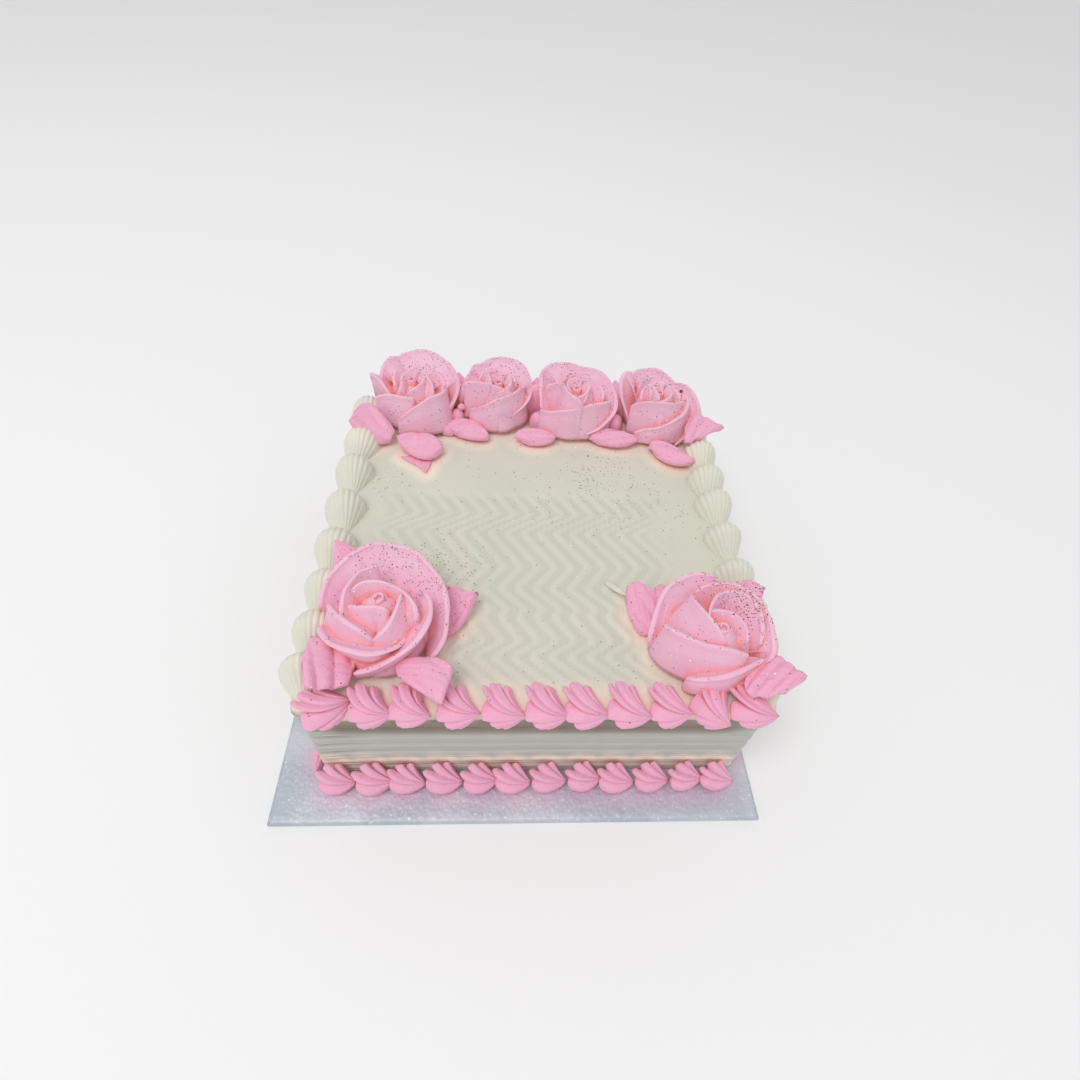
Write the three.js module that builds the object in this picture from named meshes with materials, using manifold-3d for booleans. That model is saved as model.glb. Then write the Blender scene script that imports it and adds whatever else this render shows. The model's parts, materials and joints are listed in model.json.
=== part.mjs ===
// Square buttercream cake on its foil board, with piped borders, roses and leaves.
// Millimetres. The origin is under the middle of the cake, on the board's underside.
// +X is the cake's right side, +Y its back and +Z is up.
import * as THREE from 'three';
import { mergeVertices } from 'three/addons/utils/BufferGeometryUtils.js';
import Module from 'manifold-3d';

const wasm = await Module();
wasm.setup();

// Finishes
const ivory = new THREE.MeshStandardMaterial({ color: 0xe6e4d2, roughness: 0.55, metalness: 0 });
const pink = new THREE.MeshStandardMaterial({ color: 0xf0a0c0, roughness: 0.5, metalness: 0 });
const foil = new THREE.MeshStandardMaterial({ color: 0xb9bec9, roughness: 0.35, metalness: 0.8 });

// Sizes shared by several pieces
const GAP = 0.35;
const BOARD = { side: 254, thickness: 3, x: -7, y: -10 };
const CAKE = { half: 110.5, corner: 7, top: 76 };

// The wall is combed into level bands with a groove under each, and flares at its top edge
const WALL = { bands: 8, groove: 1.5, lip: 2.6, lipHeight: 22 };

// The comb's path over the top: how far it has moved to the right (x) at each turn (y)
const COMB = { pitch: 9.3, depth: 1.1, halfWidth: 4.1, first: -80, count: 17 };
const COMB_TURNS = [
  { y: 28, x: -1 },
  { y: 13, x: 9 },
  { y: -1, x: -15 },
  { y: -26, x: 3 },
  { y: -41, x: -9 },
  { y: -57, x: 3 },
  { y: -73, x: 11.5 },
  { y: -82, x: -2.5 },
  { y: -97, x: 15 },
];

// Shells piped along the top edge, heads first. They stand on the edge and droop over it,
// and middles says where the middle of each lies along its side of the cake.
const STAR_SHELL = { length: 25, width: 21, height: 18, ridges: 4, cut: 0.3, turn: -16, out: 0.5, droop: 5 };
const FLUTED_SHELL = { length: 35, width: 24, height: 20, ridges: 3, cut: 0.1, turn: 0, out: -2, droop: 5 };
const TOP_ROWS = [
  {
    name: 'border_top_front',
    cream: pink,
    shell: STAR_SHELL,
    side: 0,
    middles: [-96, -76.4, -58.5, -37.5, -16.9, 2.7, 20.4, 40.3, 59.4, 80.1, 98.5],
  },
  {
    name: 'border_top_back',
    cream: pink,
    shell: { ...STAR_SHELL, ridges: 3, out: 4, droop: 12 },
    side: 180,
    middles: [-92, -74, -56, -37, -18, 1, 19, 37, 55, 74, 92],
  },
  {
    name: 'border_top_left',
    cream: ivory,
    shell: FLUTED_SHELL,
    side: -90,
    middles: [-98.4, -66.5, -40.5, -10, 19.4, 46.7, 72.2, 98],
  },
  {
    name: 'border_top_right',
    cream: ivory,
    mirrored: true,
    shell: { ...FLUTED_SHELL, length: 32, droop: 3 },
    side: -90,
    middles: [-107, -87, -63.3, -40.2, -18.1, 8.3, 35, 59.6, 80, 101],
  },
];

// The border round the foot of the wall, in shells joined end to end. It is narrow where
// the cake stands close to the board's edge.
const FOOT_ROWS = [
  { name: 'border_base_front', side: 0, from: -113.5, reach: 14, height: 14.5, ridges: 3 },
  { name: 'border_base_right', side: 90, from: -109, reach: 5, height: 11, ridges: 2 },
  { name: 'border_base_back', side: 180, from: -111, reach: 5, height: 12, ridges: 2 },
  { name: 'border_base_left', side: -90, from: -109, reach: 7, height: 12, ridges: 2 },
];
const FOOT_SHELL = { count: 12, pitch: 18.3 };

// Petals wind clockwise from start through sweep degrees. radius and height give the
// edge of the petal at its start, its middle and its end, and foot its radius at the base.
const WIDE_ROSE = [
  { start: 170, sweep: 205, radius: [9, 9, 19], height: [27, 32, 25], foot: 0.5 },
  { start: 318, sweep: 120, radius: [12, 9, 16], height: [28, 31, 25], foot: 0.5 },
  { start: 10, sweep: 110, radius: [9, 13, 25], height: [28, 29, 14], foot: 0.6 },
  { start: 225, sweep: 165, radius: [20, 16, 16], height: [19, 30, 26], foot: 0.65 },
  { start: 268, sweep: 100, radius: [21, 19, 26], height: [18, 26, 14], foot: 0.65 },
  { start: 335, sweep: 140, radius: [16, 26, 28], height: [20, 19, 14], foot: 0.65 },
  { start: 65, sweep: 175, radius: [17, 23, 29], height: [25, 20, 9], foot: 0.65 },
  { start: 195, sweep: 150, radius: [27, 31, 30], height: [9, 24, 20], foot: 0.62 },
  { start: 80, sweep: 150, radius: [31, 29, 29], height: [20, 18, 6], foot: 0.64 },
];
const TALL_ROSE = [
  { start: 255, sweep: 150, radius: [13, 7, 19], height: [27, 33, 30], foot: 0.55 },
  { start: 130, sweep: 150, radius: [8, 13, 14], height: [31, 31, 26], foot: 0.5 },
  { start: 120, sweep: 160, radius: [18, 22, 23], height: [27, 29, 20], foot: 0.6 },
  { start: 310, sweep: 140, radius: [17, 15, 27], height: [22, 26, 20], foot: 0.6 },
  { start: 335, sweep: 115, radius: [24, 22, 29], height: [17, 15, 11], foot: 0.68 },
  { start: 205, sweep: 130, radius: [29, 30, 30], height: [15, 25, 23], foot: 0.62 },
  { start: 90, sweep: 165, radius: [30, 28, 28], height: [23, 21, 7], foot: 0.64 },
];
const CUPPED_ROSE = [
  { start: 150, sweep: 190, radius: [9, 8, 15], height: [33, 35, 27], foot: 0.5 },
  { start: 20, sweep: 150, radius: [12, 9, 17], height: [33, 32, 24], foot: 0.5 },
  { start: 215, sweep: 190, radius: [15, 17, 20], height: [27, 33, 24], foot: 0.6 },
  { start: 5, sweep: 125, radius: [21, 15, 25], height: [26, 25, 12], foot: 0.62 },
  { start: 285, sweep: 105, radius: [18, 22, 26], height: [12, 21, 20], foot: 0.62 },
  { start: 215, sweep: 185, radius: [25, 28, 27], height: [16, 31, 22], foot: 0.6 },
  { start: 55, sweep: 140, radius: [27, 24, 25], height: [27, 17, 8], foot: 0.62 },
];
const ROSES = [
  { name: 'rose_front_left', x: -74, y: -66, size: 1, turn: 0, mound: 20, petals: WIDE_ROSE },
  { name: 'rose_front_right', x: 84, y: -74, size: 1, turn: 0, mound: 19, petals: TALL_ROSE },
  { name: 'rose_back_1', x: -76, y: 92, size: 1, turn: 8, mound: 16, petals: CUPPED_ROSE },
  { name: 'rose_back_2', x: -23.5, y: 92, size: 0.9, turn: -4, mound: 16, petals: CUPPED_ROSE },
  { name: 'rose_back_3', x: 31, y: 92, size: 0.98, turn: 2, mound: 16, petals: CUPPED_ROSE },
  { name: 'rose_back_4', x: 85, y: 90, size: 1, turn: -6, mound: 16, petals: CUPPED_ROSE },
];

// Leaves: the base and the tip on the top, the width, how high each end lies above the top,
// and the crease, which is the depth of the fold along the middle
const LEAVES = [
  { name: 'leaf_front_left_a', base: [-86, -42], tip: [-107, -21], width: 24, rise: [1, 18], crease: 2 },
  { name: 'leaf_front_left_b', base: [-50, -60], tip: [-29, -51], width: 30, rise: [1, 9], crease: 3 },
  { name: 'leaf_front_left_c', base: [-91, -85], tip: [-107, -104], width: 27, rise: [2, 16], crease: -3 },
  { name: 'leaf_front_left_d', base: [-59, -92], tip: [-42, -113], width: 25, rise: [6, 18], crease: -4 },
  { name: 'leaf_front_right_e', base: [64, -59], tip: [45, -50], width: 28, rise: [1, 8], crease: 3 },
  { name: 'leaf_front_right_f', base: [101, -55], tip: [119, -46], width: 20, rise: [10, 22], crease: 2 },
  { name: 'leaf_front_right_g', base: [107, -93], tip: [125, -99], width: 28, rise: [15, 19], crease: 3 },
  { name: 'leaf_back_h', base: [-95, 80], tip: [-117, 79], width: 32, rise: [5, 19], crease: -3 },
  { name: 'leaf_back_i', base: [-87, 67], tip: [-54, 57], width: 20, rise: [2, 4], crease: -2 },
  { name: 'leaf_back_k', base: [-58, 79], tip: [-28, 73], width: 16, rise: [1, 3], crease: -2 },
  { name: 'leaf_back_l', base: [-10, 77], tip: [16, 75], width: 16, rise: [1, 4], crease: -2 },
  { name: 'leaf_back_m', base: [39, 73], tip: [71, 70], width: 16, rise: [1, 4], crease: -2 },
  { name: 'leaf_back_n', base: [76, 66], tip: [107, 59], width: 18, rise: [1, 5], crease: -2 },
  { name: 'leaf_back_o', base: [107, 84], tip: [127, 82], width: 26, rise: [12, 22], crease: 3 },
  { name: 'leaf_back_p', base: [-50, 108], tip: [-49, 125], width: 16, rise: [15, 18], crease: 2 },
  { name: 'leaf_back_q', base: [4, 108], tip: [4, 124], width: 14, rise: [15, 17], crease: 2 },
  { name: 'leaf_back_r', base: [58, 108], tip: [58, 124], width: 14, rise: [15, 17], crease: 2 },
];
const LEAF_THICKNESS = 3;

const radians = THREE.MathUtils.degToRad;

// A curve through three values, at 0, 0.5 and 1
function through([first, middle, last], t) {
  const before = 2 * (t - 0.5) * (t - 1);
  const between = 4 * t * (1 - t);
  const after = 2 * t * (t - 0.5);
  return first * before + middle * between + last * after;
}

// Points [x, y, z] and triangles made a solid, turned right side out
function solidFrom(points, triangles) {
  const geometry = new THREE.BufferGeometry();
  geometry.setAttribute('position', new THREE.Float32BufferAttribute(points.flat(), 3));
  geometry.setIndex(triangles.flat());
  return solidOf(geometry);
}

function solidOf(geometry) {
  const bare = geometry.clone();
  bare.deleteAttribute('normal');
  bare.deleteAttribute('uv');
  const merged = mergeVertices(bare, 1e-4);
  const vertProperties = new Float32Array(merged.getAttribute('position').array);
  const triVerts = new Uint32Array(merged.getIndex().array);
  if (signedVolume(vertProperties, triVerts) < 0) {
    for (let i = 0; i < triVerts.length; i += 3) {
      [triVerts[i], triVerts[i + 1]] = [triVerts[i + 1], triVerts[i]];
    }
  }
  return new wasm.Manifold(new wasm.Mesh({ numProp: 3, vertProperties, triVerts }));
}

function signedVolume(positions, triangles) {
  const corner = (i) => new THREE.Vector3().fromArray(positions, 3 * triangles[i]);
  let volume = 0;
  for (let i = 0; i < triangles.length; i += 3) {
    volume += corner(i).dot(corner(i + 1).cross(corner(i + 2))) / 6;
  }
  return volume;
}

// A closed skin over a row of rings that have the same number of points, with flat ends
function loft(rings) {
  const count = rings[0].length;
  const points = rings.flat();
  const triangles = [];
  for (let ring = 0; ring < rings.length - 1; ring += 1) {
    for (let i = 0; i < count; i += 1) {
      const a = ring * count + i;
      const b = ring * count + ((i + 1) % count);
      triangles.push([a, b, b + count], [a, b + count, a + count]);
    }
  }
  const last = points.length - count;
  for (let i = 1; i < count - 1; i += 1) {
    triangles.push([0, i + 1, i], [last, last + i, last + i + 1]);
  }
  return solidFrom(points, triangles);
}

// The outline of the cake at one height, grown outwards by grow
function squareRing(grow, z) {
  const half = CAKE.half + grow;
  const inner = half - CAKE.corner;
  const stepsPerCorner = 2;
  const ring = [];
  for (let corner = 0; corner < 4; corner += 1) {
    for (let step = 0; step <= stepsPerCorner; step += 1) {
      const angle = radians(90 * (corner + step / stepsPerCorner));
      const signX = corner === 0 || corner === 3 ? 1 : -1;
      const signY = corner < 2 ? 1 : -1;
      const x = signX * inner + CAKE.corner * Math.cos(angle);
      const y = signY * inner + CAKE.corner * Math.sin(angle);
      ring.push([x, y, z]);
    }
  }
  return ring;
}

// How far the wall leans out towards its top edge
function flare(z) {
  const rise = Math.max(0, (z - CAKE.top + WALL.lipHeight) / WALL.lipHeight);
  return WALL.lip * rise ** 2;
}

function combedBody() {
  const bottom = BOARD.thickness + GAP;
  const pitch = (CAKE.top - bottom) / WALL.bands;
  const rings = [];
  for (let band = 0; band < WALL.bands; band += 1) {
    const z = bottom + band * pitch;
    rings.push(squareRing(flare(z) - WALL.groove, z));
    rings.push(squareRing(flare(z + 0.2 * pitch), z + 0.2 * pitch));
    rings.push(squareRing(flare(z + 0.85 * pitch) + 0.3, z + 0.85 * pitch));
  }
  rings.push(squareRing(WALL.lip - WALL.groove, CAKE.top));
  return loft(rings);
}

// One valley that the comb leaves in the top, a shallow V along the zigzag path
function combValley(x) {
  const above = 0.5;
  const reach = (COMB.halfWidth * (COMB.depth + above)) / COMB.depth;
  return loft(
    COMB_TURNS.map((turn) => [
      [x + turn.x - reach, turn.y, CAKE.top + above],
      [x + turn.x, turn.y, CAKE.top - COMB.depth],
      [x + turn.x + reach, turn.y, CAKE.top + above],
    ]),
  );
}

// The room that the cake takes up, with the gap that other pieces keep to it
function cakeRoom() {
  const grow = 2 * GAP;
  return loft([
    squareRing(grow, 0),
    squareRing(grow, CAKE.top - WALL.lipHeight),
    squareRing(flare(CAKE.top - 6) + grow, CAKE.top - 6),
    squareRing(WALL.lip + grow, CAKE.top + GAP),
  ]);
}

// A piped shell: a ridged head that draws out into a pointed tail along +X
function pipedShell({ length, width, height, ridges, cut }) {
  const stations = [0.04, 0.24, 0.58, 0.97];
  const steps = 2 * ridges;
  const rings = stations.map((t) => {
    const swell = Math.sin(Math.PI * t ** 0.62);
    const ring = [];
    for (let step = 0; step <= steps; step += 1) {
      const angle = (Math.PI * step) / steps;
      const valley = step % 2 === 0 ? 1 : 1 - cut * swell;
      const x = length * (t - 0.42) - 0.12 * length * Math.cos(angle) * (1 - t);
      const y = (-width / 2) * Math.cos(angle) * swell * valley;
      const z = height * Math.sin(angle) * swell * valley;
      ring.push([x, y, z]);
    }
    return ring;
  });
  return loft(rings);
}

// The shells of one side of the top edge, joined where they overlap and cut back to the cake
function topRow({ shell, side, mirrored, middles }) {
  let row = null;
  middles.forEach((middle, i) => {
    const uneven = 1 + 0.06 * Math.sin(2.3 * i + side);
    const piece = pipedShell(shell)
      .scale([1, uneven, 2 - uneven])
      .rotate([0, 0, shell.turn + 6 * Math.sin(1.7 * i)])
      .translate([middle, -CAKE.half - shell.out, CAKE.top - shell.droop]);
    row = row ? row.add(piece) : piece;
  });
  return row
    .rotate([0, 0, side])
    .scale([mirrored ? -1 : 1, 1, 1])
    .subtract(cakeRoom());
}

// A border along the foot of one side: in each shell the section swells at the head and
// dwindles to the tail, and it fills the corner between the wall and the board
function footRow({ side, from, reach, height, ridges }) {
  const { count, pitch } = FOOT_SHELL;
  const swells = [{ t: 0, size: 0.55 }, { t: 0.2, size: 1 }, { t: 0.6, size: 0.85 }];
  const wall = -CAKE.half - 2 * GAP;
  const floor = BOARD.thickness + GAP;
  const rings = [];
  for (let i = 0; i < count; i += 1) {
    for (const { t, size } of swells) {
      const uneven = size * (1 + 0.07 * Math.sin(2.1 * i + side));
      const ring = [[from + pitch * (i + t), wall, floor]];
      for (let step = 0; step < 2 * ridges; step += 1) {
        const angle = (Math.PI / 2) * (step / (2 * ridges - 1));
        const ridge = step % 2 === 0 ? uneven : 0.8 * uneven;
        const x = from + pitch * (i + t) + 3 * Math.sin(angle);
        ring.push([x, wall - reach * ridge * Math.cos(angle), floor + height * ridge * Math.sin(angle)]);
      }
      rings.push(ring);
    }
  }
  return loft(rings).rotate([0, 0, side]);
}

function petalSolid({ start, sweep, radius, height, foot }, size) {
  const segments = Math.ceil(sweep / 50);
  const rings = [];
  for (let i = 0; i <= segments; i += 1) {
    const t = i / segments;
    const angle = radians(start - sweep * t);
    const edge = through(radius, t) * size;
    const top = through(height, t) * size;
    const section = [
      [edge * foot - 1.5, 0.25 * top],
      [edge * foot + 3, 0.25 * top],
      [edge + 0.7, top],
      [edge - 0.8, top],
    ];
    rings.push(section.map(([r, z]) => [r * Math.cos(angle), r * Math.sin(angle), z]));
  }
  return loft(rings);
}

// A rose is a mound of cream with its petals winding up out of it
function roseSolid({ size, turn, mound: foot, petals }) {
  const mound = new THREE.LatheGeometry(
    [[0, 0], [foot, 0], [foot + 2, 6], [11, 20], [0, 31]].map(
      ([r, z]) => new THREE.Vector2(r * size, z * size),
    ),
    7,
  );
  mound.rotateX(Math.PI / 2);
  let rose = solidOf(mound);
  for (const petal of petals) {
    rose = rose.add(petalSolid(petal, size));
  }
  return largest(rose.rotate([0, 0, turn]));
}

// A leaf is a thin wavy sheet, folded along its middle and drawn out to a point
function leafSolid({ base, tip, width, rise, crease }) {
  const from = new THREE.Vector2(...base);
  const along = new THREE.Vector2(...tip).sub(from);
  const across = new THREE.Vector2(-along.y, along.x).normalize();
  const stations = 4;
  const points = [];
  for (const under of [0, LEAF_THICKNESS]) {
    for (let i = 0; i <= stations; i += 1) {
      const t = i / stations;
      const half = (width / 2) * Math.max(0.08, Math.sin(Math.PI * (0.12 + 0.86 * t ** 0.8)));
      const wave = 1.2 * Math.sin(9 * t);
      for (const side of [-1, 0, 1]) {
        const spot = from.clone().addScaledVector(along, t).addScaledVector(across, side * half);
        const fold = crease * (Math.abs(side) - 0.5);
        const lift = rise[0] + (rise[1] - rise[0]) * t ** 1.3 + fold + side * wave;
        const bottom = CAKE.top + Math.max(GAP, lift);
        points.push([spot.x, spot.y, bottom + LEAF_THICKNESS - under]);
      }
    }
  }
  const face = 3 * (stations + 1);
  const triangles = [];
  for (let i = 0; i < stations; i += 1) {
    for (const column of [0, 1]) {
      const a = 3 * i + column;
      const quad = [[a, a + 3, a + 4], [a, a + 4, a + 1]];
      triangles.push(...quad);
      triangles.push(...quad.map(([p, q, r]) => [p + face, r + face, q + face]));
    }
  }
  const rim = [];
  for (let i = 0; i <= stations; i += 1) {
    rim.push(3 * i);
  }
  rim.push(3 * stations + 1);
  for (let i = stations; i >= 0; i -= 1) {
    rim.push(3 * i + 2);
  }
  rim.push(1);
  rim.forEach((a, i) => {
    const b = rim[(i + 1) % rim.length];
    triangles.push([a, b + face, b], [a, a + face, b + face]);
  });
  return solidFrom(points, triangles);
}

// What is left of a piece when a neighbour takes its own room and a gap on every side
function clearOf(piece, neighbour) {
  return [[0, 0, 0], [1, 1, 1], [1, -1, -1], [-1, 1, -1], [-1, -1, 1]].reduce(
    (left, way) => left.subtract(neighbour.translate(way.map((value) => 1.3 * GAP * value))),
    piece,
  );
}

function boxesMeet(one, other) {
  const a = one.boundingBox();
  const b = other.boundingBox();
  return [0, 1, 2].every((i) => a.min[i] < b.max[i] + GAP && b.min[i] < a.max[i] + GAP);
}

function largest(solid) {
  return solid.decompose().reduce((best, one) => (one.volume() > best.volume() ? one : best));
}

const cake = new THREE.Group();

function addNode(name, solid, material) {
  const { vertProperties, triVerts } = solid.getMesh();
  const geometry = new THREE.BufferGeometry();
  geometry.setAttribute('position', new THREE.BufferAttribute(new Float32Array(vertProperties), 3));
  geometry.setIndex(new THREE.BufferAttribute(new Uint32Array(triVerts), 1));
  geometry.computeVertexNormals();
  const mesh = new THREE.Mesh(geometry, material);
  mesh.name = name;
  cake.add(mesh);
}

const board = new THREE.BoxGeometry(BOARD.side, BOARD.side, BOARD.thickness);
board.translate(BOARD.x, BOARD.y, BOARD.thickness / 2);
addNode('board', solidOf(board), foil);

let body = combedBody();
for (let i = 0; i < COMB.count; i += 1) {
  body = body.subtract(combValley(COMB.first + i * COMB.pitch));
}
addNode('cake_body', body, ivory);

// Each piece is cut back from the ones before it in this order
const placed = [];
function place(name, solid, material) {
  const near = placed.filter((other) => boxesMeet(solid, other));
  const piece = largest(near.reduce(clearOf, solid));
  placed.push(piece);
  addNode(name, piece, material);
}

for (const rose of ROSES) {
  place(rose.name, roseSolid(rose).translate([rose.x, rose.y, CAKE.top + GAP]), pink);
}
for (const row of TOP_ROWS) {
  place(row.name, topRow(row), row.cream);
}
for (const row of FOOT_ROWS) {
  place(row.name, footRow(row), pink);
}
for (const leaf of LEAVES) {
  place(leaf.name, leafSolid(leaf), pink);
}

export default cake;
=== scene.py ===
"""A square buttercream cake on its foil board: creams, piped borders, roses, leaves and glitter.

The lengths below are in millimetres, and MM turns them into metres as a mesh is made.
"""

import json

import bmesh
import bpy
import numpy as np
from bpy.props import FloatProperty, FloatVectorProperty, IntProperty, PointerProperty
from mathutils import Matrix, Vector
from mathutils.bvhtree import BVHTree

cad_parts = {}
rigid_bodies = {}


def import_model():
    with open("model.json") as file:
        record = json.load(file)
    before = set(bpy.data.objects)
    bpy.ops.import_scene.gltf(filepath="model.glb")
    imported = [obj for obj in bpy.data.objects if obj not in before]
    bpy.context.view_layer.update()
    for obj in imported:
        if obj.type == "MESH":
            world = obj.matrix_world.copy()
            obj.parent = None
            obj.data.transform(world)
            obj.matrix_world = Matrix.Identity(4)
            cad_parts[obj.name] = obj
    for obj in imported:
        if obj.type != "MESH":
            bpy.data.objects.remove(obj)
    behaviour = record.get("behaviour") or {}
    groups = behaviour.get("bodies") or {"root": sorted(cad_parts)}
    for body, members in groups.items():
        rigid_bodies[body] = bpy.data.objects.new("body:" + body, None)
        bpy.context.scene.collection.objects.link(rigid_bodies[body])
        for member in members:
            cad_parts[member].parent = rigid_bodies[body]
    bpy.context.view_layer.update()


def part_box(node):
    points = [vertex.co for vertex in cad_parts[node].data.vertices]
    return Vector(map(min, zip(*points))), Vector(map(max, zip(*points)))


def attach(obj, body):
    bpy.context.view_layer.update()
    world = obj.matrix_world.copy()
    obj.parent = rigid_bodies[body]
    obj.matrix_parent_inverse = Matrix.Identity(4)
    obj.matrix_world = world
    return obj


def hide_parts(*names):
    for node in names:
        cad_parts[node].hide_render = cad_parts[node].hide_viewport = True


bl_info = {
    "name": "Square Cake",
    "version": (1, 0, 0),
    "blender": (4, 5, 0),
    "location": "View3D > Sidebar > Cake",
    "description": "Pipes and finishes a square buttercream cake over its packed frame",
    "category": "Object",
}

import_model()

MM = 0.001
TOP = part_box("cake_body")[1].z / MM
BOARD_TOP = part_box("board")[1].z / MM
CAKE_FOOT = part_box("cake_body")[0].z / MM
HALF = 110.5
CORNER = 4.5
LIP = {"reach": 2.6, "height": 22}
BANDS = 8
# Where the rows of points lie in each band of the wall, from its groove up
BAND_ROWS = (0, 0.03, 0.07, 0.15, 0.33, 0.36, 0.4, 0.65, 0.68, 0.94)

# The comb's path over the top: how far it has moved to the right (x) at each turn (y)
COMB = {"first": -80, "count": 17}
COMB_TURNS = [(28, -1), (13, 9), (-1, -15), (-26, 3), (-41, -9), (-54, 5), (-59, 1), (-73, 11.5), (-82, -2.5), (-97, 15)]

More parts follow.
